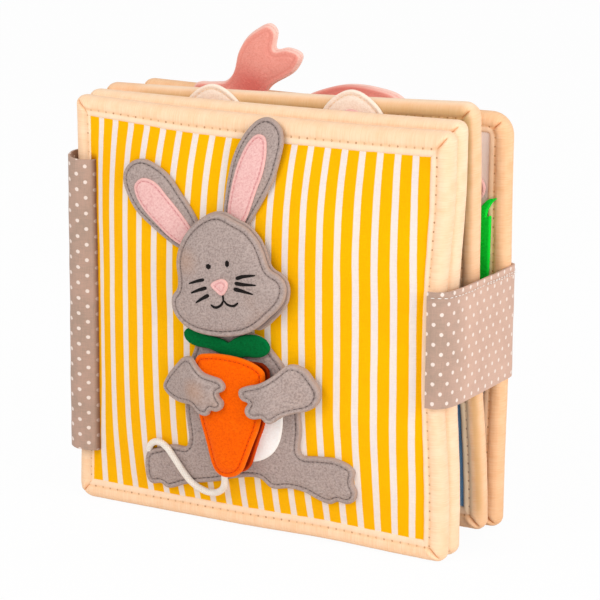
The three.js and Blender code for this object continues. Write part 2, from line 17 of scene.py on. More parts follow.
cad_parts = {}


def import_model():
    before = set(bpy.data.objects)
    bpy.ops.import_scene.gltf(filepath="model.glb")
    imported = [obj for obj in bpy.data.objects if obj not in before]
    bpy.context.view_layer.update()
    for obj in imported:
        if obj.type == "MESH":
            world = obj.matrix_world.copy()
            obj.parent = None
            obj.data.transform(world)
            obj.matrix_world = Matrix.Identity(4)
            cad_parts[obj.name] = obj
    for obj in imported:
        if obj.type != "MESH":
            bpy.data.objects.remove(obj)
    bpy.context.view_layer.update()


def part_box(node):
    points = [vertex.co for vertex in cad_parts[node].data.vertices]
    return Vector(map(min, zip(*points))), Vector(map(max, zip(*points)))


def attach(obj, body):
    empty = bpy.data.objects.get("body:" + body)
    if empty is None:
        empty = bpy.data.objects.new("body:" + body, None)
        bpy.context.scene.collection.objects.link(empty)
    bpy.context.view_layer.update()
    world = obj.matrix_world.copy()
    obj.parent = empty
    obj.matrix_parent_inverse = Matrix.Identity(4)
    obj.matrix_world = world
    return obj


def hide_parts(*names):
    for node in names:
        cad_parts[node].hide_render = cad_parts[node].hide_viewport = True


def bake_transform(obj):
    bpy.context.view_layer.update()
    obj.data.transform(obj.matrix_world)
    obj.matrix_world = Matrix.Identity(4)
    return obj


log = logging.getLogger("quiet_book")

Points = Sequence[tuple[float, float]]
Array = np.ndarray
Material = bpy.types.Material
Object = bpy.types.Object
Vert = bmesh.types.BMVert
Bend = tuple[Sequence[float], Sequence[float]]
Depth = Callable[[Array, Array], Array]
Colour = tuple[int, int, int]

# Sizes that several pieces share, in millimetres.
LEAF = 200.0
SPINE_X = 99.4
TAPE = 29.6
TUCK = 5.0
NEEDLE_PITCH = 4.2
BAND_LOW, BAND_HIGH = 26.2, 170.0

# Steps of the grids: across a panel, and along and round one side of a binding.
PANEL_STEPS, SIDE_STEPS, ROUND_STEPS = 84, 96, 40

# The spine band's flap on the cover: where its cloth starts, where its edge lies and how far that bows out.
FLAP_START, FLAP_EDGE, FLAP_BULGE = -3.3, 13.4, 3.2

# How far an outline moves across and up for each millimetre that its felt stands further out than drawn.
VIEW_SLIDE = np.array((0.558, 0.277))

SIDEWAYS = np.array((1.0, 0.0, 0.0))
FORWARD = np.array((0.0, -1.0, 0.0))
CREASE = math.radians(50.0)
WHITE = (1.0, 1.0, 1.0, 1.0)

# Darker and paler copies of felts, with the record's slot that each one belongs to: the darker copies are
# painted shade in the carrot's hollow and between the head's felts, the paler one a painted highlight on the
# sea animal's rim.
SHADE_OF = {"carrot_shaded_felt": "orange_felt", "head_shaded_felt": "grey_felt", "rose_lit_felt": "rose_felt"}


def linear(colour: Colour) -> tuple[float, ...]:
    """Turns a colour as it is seen on a screen into the shader's own numbers.

    Args:
        colour: Red, green and blue, from 0 to 255.

    Returns:
        The linear colour with an alpha of 1.
    """
    shares = (value / 255 for value in colour)
    return (*(s / 12.92 if s <= 0.04045 else ((s + 0.055) / 1.055) ** 2.4 for s in shares), 1.0)


def ease(value: Array, low: float, high: float) -> Array:
    """A soft step from 0 at low to 1 at high."""
    t = np.clip((np.asarray(value, float) - low) / (high - low), 0.0, 1.0)
    return t * t * (3 - 2 * t)


def ripple(a: Array, b: Array, length: float, turn: float = 0.0) -> Array:
    """Uneven waves over a surface, between about -1 and 1.

    Args:
        a: First coordinate, in millimetres.
        b: Second coordinate, in millimetres.
        length: Length of the main wave, in millimetres.
        turn: Shifts the waves, so that no two pieces share them.

    Returns:
        The height of the waves.
    """
    k = 2 * math.pi / length
    waves = np.sin(k * (a + 0.31 * b) + 1.7 * turn) + np.sin(k * (0.83 * b - 0.47 * a) * 1.13 + 2.9 * turn)
    return 0.4 * waves + 0.2 * np.sin(k * 1.9 * (a - b) + 4.3 * turn)


def flat_seat(depth: float) -> Depth:
    """A seat that lies level with the leaf."""
    return lambda x, z: np.full(np.shape(x), depth)


def raised(seat: Depth, by: float) -> Depth:
    """A seat that lies above another one."""
    return lambda x, z: seat(x, z) + by


def run_along(line: Array) -> Array:
    """How far along a line each of its points lies."""
    return np.concatenate([[0.0], np.cumsum(np.linalg.norm(np.diff(line, axis=0), axis=1))])


def directions(line: Array) -> Array:
    """The way that a line runs at each of its points."""
    ahead = np.gradient(line, axis=0)
    return ahead / np.linalg.norm(ahead, axis=1, keepdims=True)


def soften(line: Array, times: int) -> Array:
    """Rounds off the bends of an open line, whose ends stay.

    Args:
        line: The line's points, which are moved.
        times: How often it is smoothed.

    Returns:
        The same points.
    """
    for _ in range(times):
        line[1:-1] = (line[:-2] + 2 * line[1:-1] + line[2:]) / 4
    return line


def stand(name: str, data: bpy.types.ID) -> Object:
    """Puts a mesh, a lamp or a camera in the scene.

    Args:
        name: The object's name.
        data: What it shows.

    Returns:
        The object.
    """
    made = bpy.data.objects.new(name, data)
    bpy.context.scene.collection.objects.link(made)
    return made


def smooth_outline(points: Points, steps: int = 6) -> Array:
    """Draws a smooth closed outline through a few points.

    Args:
        points: The points, in order.
        steps: How many points replace each one.

    Returns:
        The outline's points.
    """
    p = np.asarray(points, float)
    before, after, far = np.roll(p, 1, 0), np.roll(p, -1, 0), np.roll(p, -2, 0)
    made = []
    for a, b, c, d in zip(before, p, after, far):
        t0 = 0.0
        t1 = t0 + max(np.linalg.norm(b - a), 1e-6) ** 0.5
        t2 = t1 + max(np.linalg.norm(c - b), 1e-6) ** 0.5
        t3 = t2 + max(np.linalg.norm(d - c), 1e-6) ** 0.5
        for t in np.linspace(t1, t2, steps, endpoint=False):
            ab = (t1 - t) / (t1 - t0) * a + (t - t0) / (t1 - t0) * b
            bc = (t2 - t) / (t2 - t1) * b + (t - t1) / (t2 - t1) * c
            cd = (t3 - t) / (t3 - t2) * c + (t - t2) / (t3 - t2) * d
            abc = (t2 - t) / (t2 - t0) * ab + (t - t0) / (t2 - t0) * bc
            bcd = (t3 - t) / (t3 - t1) * bc + (t - t1) / (t3 - t1) * cd
            made.append((t2 - t) / (t2 - t1) * abc + (t - t1) / (t2 - t1) * bcd)
    return np.array(made)


def evenly(line: Array, gap: float, closed: bool = True) -> Array:
    """Spaces points evenly along a line.

    Args:
        line: The line's points, in two or three dimensions.
        gap: The wanted distance between points.
        closed: Whether the line goes back to its start.

    Returns:
        The evenly spaced points.
    """
    whole = np.vstack([line, line[:1]]) if closed else np.asarray(line, float)
    run = run_along(whole)
    count = max(3, int(round(run[-1] / gap)))
    at = np.linspace(0, run[-1], count, endpoint=False) if closed else np.linspace(0, run[-1], count + 1)
    return np.stack([np.interp(at, run, whole[:, i]) for i in range(whole.shape[1])], -1)


def edge_distance(points: Array, outline: Array) -> Array:
    """How far each point lies from a closed outline.

    Args:
        points: Points in x and z.
        outline: The outline's points.

    Returns:
        A distance for each point.
    """
    along = np.roll(outline, -1, 0) - outline
    share = ((points[:, None, :] - outline) * along).sum(-1) / np.maximum((along**2).sum(-1), 1e-9)
    nearest = outline + np.clip(share, 0, 1)[..., None] * along
    return np.linalg.norm(points[:, None, :] - nearest, axis=-1).min(1)


def lies_inside(points: Array, outline: Array) -> Array:
    """Which points lie inside a closed outline.

    Args:
        points: Points in x and z.
        outline: The outline's points.

    Returns:
        True or false for each point.
    """
    a, b = outline, np.roll(outline, -1, 0)
    x, z = points[:, :1], points[:, 1:]
    spans = (a[:, 1] > z) != (b[:, 1] > z)
    rise = np.where(np.abs(b[:, 1] - a[:, 1]) < 1e-12, 1e-12, b[:, 1] - a[:, 1])
    crossing = a[:, 0] + (z - a[:, 1]) / rise * (b[:, 0] - a[:, 0])
    return (spans & (x < crossing)).sum(1) % 2 == 1


def drawn_in(outline: Array, distance: float, gap: float) -> Array:
    """A line that runs inside an outline, a fixed distance from it.

    Args:
        outline: The outline's points, evenly spaced.
        distance: How far inside the line runs.
        gap: The distance between the line's points.

    Returns:
        The line's points, evenly spaced.
    """
    tangent = np.roll(outline, -1, 0) - np.roll(outline, 1, 0)
    normal = np.stack([-tangent[:, 1], tangent[:, 0]], -1)
    normal /= np.maximum(np.linalg.norm(normal, axis=1, keepdims=True), 1e-9)
    trial = outline + normal * 0.05
    if lies_inside(trial, outline).mean() < 0.5:
        normal = -normal
    line = outline + normal * distance
    keep = lies_inside(line, outline) & (edge_distance(line, outline) > distance - 0.12)
    return evenly(line[keep], gap)


Sum = Callable[["Value", object], "Value"]


def sums(operation: str) -> tuple[Sum, Sum]:
    """Makes one of the sums that a shader value takes part in.

    Args:
        operation: The Math node's operation.

    Returns:
        The sum with the value first, and with the value second.
    """
    def first(self: "Value", other: object) -> "Value":
        """The sum with this value first."""
        return self.math(operation, other)

    def second(self: "Value", other: object) -> "Value":
        """The sum with this value second."""
        return self.paint.node("ShaderNodeMath", {"operation": operation}, {0: other, 1: self})

    return first, second


class Value:
    """A shader socket that takes part in sums."""

    __add__, __radd__ = sums("ADD")
    __sub__, __rsub__ = sums("SUBTRACT")
    __mul__, __rmul__ = sums("MULTIPLY")
    __truediv__, __rtruediv__ = sums("DIVIDE")

    def __init__(self, paint: "Paint", socket: bpy.types.NodeSocket) -> None:
        """Keeps the socket and the paint that it belongs to."""
        self.paint = paint
        self.socket = socket

    def math(self, operation: str, *others: object) -> "Value":
        """One Math node on this value and others."""
        return self.paint.node("ShaderNodeMath", {"operation": operation}, dict(enumerate((self, *others))))

    def step(self, low: float, high: float) -> "Value":
        """A soft step from 0 at low to 1 at high."""
        settings = {"interpolation_type": "SMOOTHSTEP"}
        return self.paint.node("ShaderNodeMapRange", settings, {0: self, 1: low, 2: high, 3: 0.0, 4: 1.0})


class Paint:
    """A material under way."""

    def __init__(self, name: str) -> None:
        """Starts an empty material.

        Args:
            name: The material's name.
        """
        self.material = bpy.data.materials.new(name)
        self.material.use_nodes = True
        self.tree = self.material.node_tree
        self.tree.nodes.clear()

    def node(
        self,
        kind: str,
        settings: Mapping[str, object] | None = None,
        inputs: Mapping[str | int, object] | None = None,
        output: str | int = 0,
    ) -> Value:
        """Adds one node.

        Args:
            kind: The node's type.
            settings: Its settings, set first.
            inputs: The values or links of its sockets.
            output: The socket to go on from.

        Returns:
            That socket.
        """
        made = self.tree.nodes.new(kind)
        for key, value in (settings or {}).items():
            setattr(made, key, value)
        for key, value in (inputs or {}).items():
            if isinstance(value, Value):
                self.tree.links.new(value.socket, made.inputs[key])
            else:
                made.inputs[key].default_value = value
        return Value(self, made.outputs[output])

    def place(self) -> Value:
        """Where a point lies, in metres."""
        return self.node("ShaderNodeTexCoord", output="Object")

    def sewn(self, layer: str = "Sewn") -> Value:
        """Where a point lies on the cloth itself, in millimetres."""
        return self.node("ShaderNodeUVMap", {"uv_map": layer})

    def parts(self, vector: Value) -> tuple[Value, Value, Value]:
        """The three numbers of a vector."""
        split = self.node("ShaderNodeSeparateXYZ", {}, {0: vector})
        return tuple(Value(self, s) for s in split.socket.node.outputs)

    def vector(self, x: object, y: object, z: object) -> Value:
        """A vector of three numbers."""
        return self.node("ShaderNodeCombineXYZ", {}, {0: x, 1: y, 2: z})

    def noise(self, where: Value, scale: float, detail: float = 3.0, rough: float = 0.55) -> Value:
        """Cloudy noise between 0 and 1."""
        inputs = {"Vector": where, "Scale": scale, "Detail": detail, "Roughness": rough}
        return self.node("ShaderNodeTexNoise", {}, inputs)

    def mix(self, share: object, first: Value | Colour, second: Value | Colour) -> Value:
        """A colour between two.

        Args:
            share: The share of the second.
            first: The first colour.
            second: The second colour.

        Returns:
            The mixed colour.
        """
        inputs = {0: share, 6: first, 7: second}
        inputs |= {key: linear(tone) for key, tone in inputs.items() if isinstance(tone, tuple)}
        return self.node("ShaderNodeMix", {"data_type": "RGBA"}, inputs, 2)

    def finish(
        self,
        colour: object,
        roughness: object,
        height: Value | None = None,
        depth: float = 0.0003,
        strength: float = 0.6,
        sheen: float = 0.0,
    ) -> Material:
        """Joins everything to a cloth surface.

        Args:
            colour: Base colour.
            roughness: Roughness.
            height: Height for the bumps.
            depth: Depth of the bumps, in metres.
            strength: Strength of the bumps.
            sheen: Weight of the sheen.

        Returns:
            The material.
        """
        inputs: dict[str | int, object] = {
            "Base Color": colour,
            "Roughness": roughness,
            "Specular IOR Level": 0.03,
            "Sheen Weight": sheen,
            "Sheen Roughness": 0.5,
        }
        if height is not None:
            bump = {"Strength": strength, "Distance": depth, "Height": height}
            inputs["Normal"] = self.node("ShaderNodeBump", {}, bump)
        surface = self.node("ShaderNodeBsdfPrincipled", {}, inputs)
        self.node_output(surface)
        return self.material

    def node_output(self, surface: Value) -> None:
        """Joins a surface to the material's output."""
        output = self.tree.nodes.new("ShaderNodeOutputMaterial")
        self.tree.links.new(surface.socket, output.inputs["Surface"])


class Weave(Enum):
    """How a cotton is woven or printed."""

    PLAIN = "plain"
    STRIPED = "striped"
    DOTTED = "dotted"
    RIBBED = "ribbed"
    TWILL = "twill"


@dataclass(frozen=True)
class Cotton:
    """A cotton cloth."""

    name: str
    colour: Colour
    second: Colour
    weave: Weave
    pitch: float = 8.88
    width: float = 3.5
    start: float = 14.9
    row: float = 4.6
    stitch_at: tuple[float, float] = (3.55, 26.05)
    hole: Colour = (160, 96, 50)
    # Strength of painted shade and light: on the third leaf's binding, and on the lighter strap side of the
    # dotted cotton.
    shade: float = 0.0
    # Where the flap's turned edge lies on the cloth, darkened there as painted shade; None for none.
    fold_at: float | None = None

    def paint(self) -> Material:
        """Makes the material.

        Returns:
            The material.
        """
        weaves = {
            Weave.PLAIN: self._plain,
            Weave.STRIPED: self._striped,
            Weave.DOTTED: self._dotted,
            Weave.RIBBED: self._ribbed,
            Weave.TWILL: self._twill,
        }
        return weaves[self.weave](Paint(self.name))

    def _threads(self, paint: Paint) -> Value:
        """Fine threads, from noise drawn out both ways.

        Args:
            paint: The material under way.

        Returns:
            Their height.
        """
        x, y, z = paint.parts(paint.place())
        warp = paint.noise(paint.vector(x * 2600.0, y * 2600.0, z * 260.0), 1.0, 2.0)
        weft = paint.noise(paint.vector(x * 260.0, y * 260.0, z * 2600.0), 1.0, 2.0)
        return warp + weft

    def _plain(self, paint: Paint) -> Material:
        """Plain woven cotton with a slightly uneven dye.

        Args:
            paint: The material under way.

        Returns:
            The material.
        """
        threads = self._threads(paint)
        cloud = paint.noise(paint.place(), 70.0)
        colour = paint.mix((threads * 0.5 + cloud - 0.5).step(0.15, 0.85), self.second, self.colour)
        return paint.finish(colour, 0.9, threads, 0.00012, 0.5, 0.1)

    def _twill(self, paint: Paint) -> Material:
        """Cotton with fine slanting ridges.

        Args:
            paint: The material under way.

        Returns:
            The material.
        """
        x, y, z = paint.parts(paint.place())
        threads = self._threads(paint)
        slant = ((x + y + z * 0.8) * (2000 * math.pi / 1.1)).math("SINE")
        height = slant * 0.25 + threads * 0.5
        colour = paint.mix(height.step(-0.1, 0.9), self.second, self.colour)
        return paint.finish(colour, 0.9, height, 0.00015, 0.5, 0.1)

    def _striped(self, paint: Paint) -> Material:
        """Printed stripes that run up the leaf, with a painted shadow beside the edge of the spine band's
        flap.

        Args:
            paint: The material under way.

        Returns:
            The material.
        """
        where = paint.place()
        x, _, z = paint.parts(where)
        threads = self._threads(paint)
        drift = paint.noise(where, 16.0, 2.0) * 1.6 - 0.8
        bare = x * 1000.0 + SPINE_X
        near_flap = 2.75 - z.step(0.105, 0.165) * 1.3
        drawn = bare.step(95.0, 150.0) * 1.15 - (1.0 - bare.step(12.0, 24.0)) * near_flap
        across = bare + z * 6.0 - 1.1 + drawn * z.step(0.025, 0.065) + drift + (threads - 1.0) * 0.16
        turn = ((across - self.start) / self.pitch + 100.5).math("FRACT")
        off = (turn - 0.5).math("ABSOLUTE") * self.pitch
        white = 1.0 - off.step(self.width / 2 - 0.16, self.width / 2 + 0.16)
        cloud = paint.noise(where, 55.0)
        deep = paint.mix(cloud.step(0.3, 0.75), (255, 182, 0), self.colour)
        pale = paint.mix(cloud.step(0.3, 0.75), (240, 226, 220), self.second)
        printed = paint.mix(white, deep, pale)
        # Painted shadow: an orange-brown strip on the cover just beside the flap's edge, between the band's
        # ends, where the flap shades it.
        share = (z * 1000.0 - BAND_LOW) / (BAND_HIGH - BAND_LOW)
        flap = share * (1.0 - share) * FLAP_BULGE - share + FLAP_EDGE
        beside = z.step(0.0255, 0.0275) * (1.0 - z.step(0.170, 0.174))
        under = (1.0 - (bare - flap).step(0.2, 1.9)) * beside
        printed = paint.mix(under * 0.75, printed, (176, 92, 4))
        shade = paint.mix(threads.step(0.6, 1.3) * 0.08, printed, (120, 70, 10))
        return paint.finish(shade, 0.88, threads, 0.00012, 0.45, 0.05)

    def _dotted(self, paint: Paint) -> Material:
        """Small dots in staggered rows, with painted light along the strap's side and painted shade at the
        flap's turned edge.

        Args:
            paint: The material under way.

        Returns:
            The material.
        """
        u, v, _ = paint.parts(paint.sewn())
        threads = self._threads(paint)
        row = (v / self.row + 50.0).math("FLOOR")
        shift = (row * 0.5).math("FRACT")
        du = ((u / self.pitch + shift + 50.0).math("FRACT") - 0.5) * self.pitch
        dv = ((v / self.row + 50.0).math("FRACT") - 0.5) * self.row
        off = (du * du + dv * dv).math("SQRT") + (threads - 1.0) * 0.35
        dot = 1.0 - off.step(self.width / 2 - 0.18, self.width / 2 + 0.18)
        cloud = paint.noise(paint.place(), 80.0)
        # Painted light: from 8 mm along the strip the ground turns lighter, as the strap's side is lit from
        # the right.
        side_light = u.step(8.0, 30.0) * self.shade
        lit_tone = paint.mix(side_light, self.colour, (216, 178, 158))
        deep = paint.mix(side_light, (168, 144, 128), (204, 166, 147))
        ground = paint.mix((threads * 0.6 + cloud - 0.6).step(0.1, 0.8), deep, lit_tone)
        colour = paint.mix(dot, ground, self.second)
        # Painted shade: the flap's turned edge turns dark brown, where it curls away and lies in shadow.
        if self.fold_at is not None:
            fold = 1.0 - (v - self.fold_at).step(0.6, 3.4)
            colour = paint.mix(fold * 0.85, colour, (108, 64, 32))
        return paint.finish(colour, 0.9, threads + dot * 0.2, 0.00015, 0.5, 0.2)

    def _ribbed(self, paint: Paint) -> Material:
        """Binding tape: fine ribs across it, soft puckers and a row of needle holes near each edge, with
        painted shade in the grooves, along the seams and in the mitre folds, and painted light on the
        flanges.

        Args:
            paint: The material under way.

        Returns:
            The material.
        """
        u, v, _ = paint.parts(paint.sewn())
        ribs = paint.noise(paint.vector(u * 2.1, v * 0.09, 0.0), 1.0, 2.0, 0.5)
        pucker = paint.noise(paint.vector(u * 0.16, v * 0.11, 0.0), 1.0, 2.0, 0.5)
        near = (v - self.stitch_at[0]).math("ABSOLUTE").math(
            "MINIMUM", (v - self.stitch_at[1]).math("ABSOLUTE")
        )
        along = ((u / NEEDLE_PITCH).math("FRACT") - 0.5) * NEEDLE_PITCH
        off = (along * along + near * near).math("SQRT")
        hole = 1.0 - off.step(0.28, 0.62)
        seam = 1.0 - near.step(0.2, 1.3)
        # The mitre folds at the corners, which take painted shade below.
        corner, _, _ = paint.parts(paint.sewn("Mitre"))
        near = TAPE / 2 - (v - TAPE / 2).math("ABSOLUTE")
        crease = (1.0 - corner.step(0.1, 0.8)) * (near - 3.4).step(0.0, 0.6)
        crease = crease * (1.0 - near.step(9.0, 11.0))
        # Painted shade: the darker colour fills the ribs' grooves, the puckers' troughs and both stitch
        # lines.
        tone = (ribs * 0.7 + pucker * 0.5 - seam * 0.2).step(0.3, 0.85)
        tape = paint.mix(tone, self.second, self.colour)
        # Painted light: the flanges between the stitch lines and the tape's edges are lighter.
        hem = 1.0 - near.step(2.6, 3.6)
        tape = paint.mix(hem * 0.4, tape, (255, 232, 206))
        # Painted shade and light on the third leaf's binding, where the second leaf hides it: olive shade
        # low on its upper fore-edge and on the front of its top, and a lighter top roll.
        if self.shade > 0:
            above = (u - LEAF * 2).step(-5.0, 5.0) * (1.0 - (u - LEAF * 2.86).step(0.0, 14.0))
            beside = (u - LEAF * 1.45).step(0.0, LEAF * 0.5) * (1.0 - (u - LEAF * 2).step(-5.0, 5.0))
            tape = paint.mix(beside * (1.0 - v.step(7.0, 10.4)) * self.shade, tape, (178, 148, 90))
            tape = paint.mix(above * (1.0 - v.step(5.0, 12.4)) * self.shade, tape, (198, 160, 102))
            tape = paint.mix(above * v.step(9.5, 14.0) * 0.6, tape, (255, 232, 204))
            # Painted light on the lower flange of the fore-edge, and painted shade on the rounded edge
            # beside it.
            lower = (u - LEAF).step(2.0, 14.0) * (1.0 - (u - LEAF * 1.3).step(0.0, LEAF * 0.2))
            tape = paint.mix(lower * (1.0 - v.step(4.5, 6.5)) * 0.8, tape, (255, 228, 192))
            turned = v.step(6.2, 8.4) * (1.0 - v.step(9.5, 14.0))
            tape = paint.mix(lower * turned * 0.55, tape, (206, 156, 88))
        # Painted shade in the mitre folds.
        tape = paint.mix(crease * 0.6, tape, (226, 160, 102))
        colour = paint.mix(hole * (pucker.step(0.3, 0.65) * 0.45 + 0.3), tape, self.hole)
        height = ribs * 0.55 + pucker * 1.2 - hole * 0.9 - seam * 0.25
        return paint.finish(colour, 0.85, height, 0.0003, 0.5, 0.12)


@dataclass(frozen=True)
class Felt:
    """A pressed wool felt."""

    name: str
    colour: Colour
    light: Colour
    dark: Colour
    # Colour of the rounded rim, painted light and shade on the edge.
    edge: Colour
    # Darker colour for patches at random and for listed spots; the spots on the carrot's inside and on the
    # sea animal's front are painted shade.
    wear_and_shade: Colour | None = None
    grain: float = 0.9
    sheen: float = 0.05
    spots: tuple[tuple[tuple[float, float, float], float, float], ...] = ()

    def paint(self) -> Material:
        """Makes the material.

        Returns:
            The material.
        """
        paint = Paint(self.name)
        where = paint.place()
        x, y, z = paint.parts(where)
        fleck = paint.noise(where, 1000 / self.grain, 4.0, 0.65)
        hair = paint.noise(paint.vector(x * 500.0 + z * 260.0, y * 500.0, z * 1500.0 - x * 700.0), 1.0, 3.0)
        cloud = paint.noise(where, 95.0, 3.0)
        tone = paint.mix((fleck * 0.75 + hair * 0.25).step(0.28, 0.62), self.dark, self.colour)
        tone = paint.mix((hair * 0.6 + cloud * 0.4).step(0.52, 0.78) * 0.6, tone, self.light)
        hidden: Value | float = 0.0
        # Wear and painted shade: patches at random, and darker spots round listed points. The spots on the
        # carrot's inside and the sea animal's front are painted shade, in the carrot's hollow and where the
        # third leaf's top shades the animal; on the grey felt they darken it towards brown.
        if self.wear_and_shade is not None:
            patch = paint.noise(where, 30.0, 2.0).step(0.58, 0.78) * 0.3
            for spot, size, weight in self.spots:
                reach = paint.node("ShaderNodeVectorMath", {"operation": "DISTANCE"}, {0: where, 1: spot}, 1)
                patch = patch + (1.0 - (reach + fleck * 0.004).step(size * 0.2, size)) * weight
            hidden = patch.math("MINIMUM", 0.8)
            tone = paint.mix(hidden, tone, self.wear_and_shade)
        inside, seam, _ = paint.parts(paint.sewn())
        # Painted light and shade on the felt's rounded rim, which takes the edge colour: paler on most
        # felts, a little darker on the grey, pink and white ones.
        rim = 1.0 - (inside + fleck * 0.5).step(0.3, 1.5)
        tone = paint.mix(rim * 0.75 * (1.0 - hidden), tone, self.edge)
        # Painted shade: a dark line along the stitches, in the stitched groove.
        sewn = (1.0 - (inside - seam).math("ABSOLUTE").step(0.1, 0.75)) * seam.step(0.1, 0.2)
        tone = paint.mix(sewn * 0.55, tone, self.dark)
        height = fleck * 0.7 + hair * 0.5 + cloud * 0.4
        return paint.finish(tone, 0.95, height, 0.0005, 0.6, self.sheen)


@dataclass(frozen=True)
class Thread:
    """Sewing or embroidery thread."""

    name: str
    colour: Colour
    second: Colour

    def paint(self) -> Material:
        """Makes the material.

        Returns:
            The material.
        """
        paint = Paint(self.name)
        x, y, z = paint.parts(paint.place())
        twist = paint.noise(paint.vector(x * 2400.0, y * 2400.0, z * 2400.0), 1.0, 2.0)
        colour = paint.mix(twist.step(0.3, 0.7), self.second, self.colour)
        return paint.finish(colour, 0.7, twist, 0.0002, 0.5, 0.1)


@dataclass(frozen=True)
class Braid:
    """Braided cotton cord: two families of strands that cross."""

    name: str
    colour: Colour
    second: Colour
    strands: float = 6.0
    lay: float = 6.4

    def paint(self) -> Material:
        """Makes the material.

        Returns:
            The material.
        """
        paint = Paint(self.name)
        u, v, _ = paint.parts(paint.sewn())
        turn = v * self.strands
        run = u / self.lay * self.strands
        one = ((turn + run) * math.pi).math("SINE").math("ABSOLUTE")
        two = ((turn - run) * math.pi).math("SINE").math("ABSOLUTE")
        height = one.math("MINIMUM", two).math("SQRT")
        fuzz = paint.noise(paint.place(), 1800.0, 3.0)
        # Painted light and shade: the strands' crowns take the lighter colour and the dips between them the
        # darker one.
        colour = paint.mix((height + fuzz * 0.3).step(0.1, 0.75), self.second, self.colour)
        return paint.finish(colour, 0.85, height + fuzz * 0.4, 0.00035, 0.7, 0.15)


class Finishes:
    """Every cloth, felt and thread of the book, each made once."""

    def __init__(self) -> None:
        """Makes the materials."""
        white = (246, 231, 218)
        makers: tuple[Cotton | Felt | Thread | Braid, ...] = (
            Cotton("striped_cotton", (255, 187, 0), white, Weave.STRIPED, width=3.2),
            Cotton(
                "dotted_cotton", (190, 156, 139), (236, 219, 208), Weave.DOTTED, 7.6, 1.8,
                row=4.2, fold_at=FLAP_START,
            ),
            # A dotted cotton that turns lighter along the strap's side: painted light.
            Cotton("side_lit_cotton", (191, 157, 140), (238, 221, 210), Weave.DOTTED, 7.2, 1.8, shade=1.0),
            Cotton("binding", (255, 220, 185), (250, 203, 159), Weave.RIBBED),
            # A lighter copy of the binding for the second leaf: painted light.
            Cotton("lit_second_binding", (255, 224, 190), (252, 207, 165), Weave.RIBBED),
            # The third leaf's binding, with painted shade and light where the second leaf hides it.
            Cotton("shaded_binding", (252, 208, 168), (246, 191, 143), Weave.RIBBED, shade=0.7),
            # A darker copy of the binding for the back leaf: painted shade.
            Cotton("shaded_back_binding", (252, 206, 162), (242, 186, 136), Weave.RIBBED),
            Cotton("lining", (255, 238, 228), (240, 218, 206), Weave.TWILL),
            Cotton("denim", (122, 166, 206), (86, 132, 176), Weave.TWILL),
            Cotton("tape", (244, 238, 228), (222, 214, 202), Weave.PLAIN),
            Felt(
                "grey_felt", (184, 165, 158), (200, 184, 176), (140, 124, 119), (178, 155, 143),
                (186, 144, 116),
                spots=(((-0.0185, -0.045, 0.0705), 0.011, 0.55), ((-0.0255, -0.041, 0.131), 0.012, 0.4)),
            ),
            Felt("pink_felt", (242, 196, 190), (247, 208, 203), (224, 160, 158), (240, 186, 178)),
            Felt("white_felt", (255, 253, 250), (255, 254, 252), (250, 244, 239), (252, 244, 236)),
            Felt("orange_felt", (255, 104, 0), (255, 120, 8), (236, 80, 0), (252, 116, 8)),
            # A dark copy of the grey felt for the head's middle layer: painted shade between the head's
            # felts.
            Felt("head_shaded_felt", (132, 117, 112), (144, 128, 122), (106, 93, 89), (150, 128, 118)),
            # A dark copy of the orange felt for the carrot's back and filling: painted shade in the carrot's
            # hollow, with a lighter rim.
            Felt(
                "carrot_shaded_felt", (150, 34, 0), (170, 44, 0), (120, 24, 0), (226, 78, 4),
                (70, 12, 0), spots=(((0.012, -0.0355, 0.088), 0.018, 0.9),),
            ),
            Felt("green_felt", (0, 106, 50), (4, 120, 60), (0, 86, 40), (0, 112, 54)),
            Felt("cream_felt", (250, 232, 216), (253, 240, 228), (238, 214, 194), (253, 236, 218)),
            Felt(
                "rose_felt", (243, 163, 148), (246, 178, 164), (231, 144, 130), (254, 212, 198),
                (219, 108, 98), spots=(
                    ((-0.037, 0.0335, 0.203), 0.016, 0.75), ((-0.028, 0.0335, 0.201), 0.014, 0.6),
                    ((0.018, 0.0335, 0.199), 0.03, 0.6),
                ),
            ),
            # A paler copy of the rose felt for the sea animal's back felt, whose rim shows: a painted rim
            # highlight.
            Felt("rose_lit_felt", (248, 186, 172), (250, 200, 188), (236, 164, 150), (254, 218, 205)),
            Felt("grass_felt", (18, 224, 56), (30, 236, 70), (8, 196, 44), (24, 230, 60)),
            Thread("grey_thread", (104, 92, 88), (80, 70, 67)),
            Thread("pink_thread", (222, 150, 148), (198, 124, 126)),
            Thread("orange_thread", (206, 62, 0), (170, 46, 0)),
            Thread("peach_thread", (250, 214, 172), (230, 180, 132)),
            Thread("white_thread", (250, 246, 240), (228, 222, 214)),
            Thread("black_thread", (34, 28, 26), (18, 14, 13)),
            Braid("cotton_cord", (255, 247, 236), (228, 196, 168)),
        )
        self.made = {maker.name: maker.paint() for maker in makers}

    def __getitem__(self, name: str) -> Material:
        """One material by its name."""
        return self.made[name]


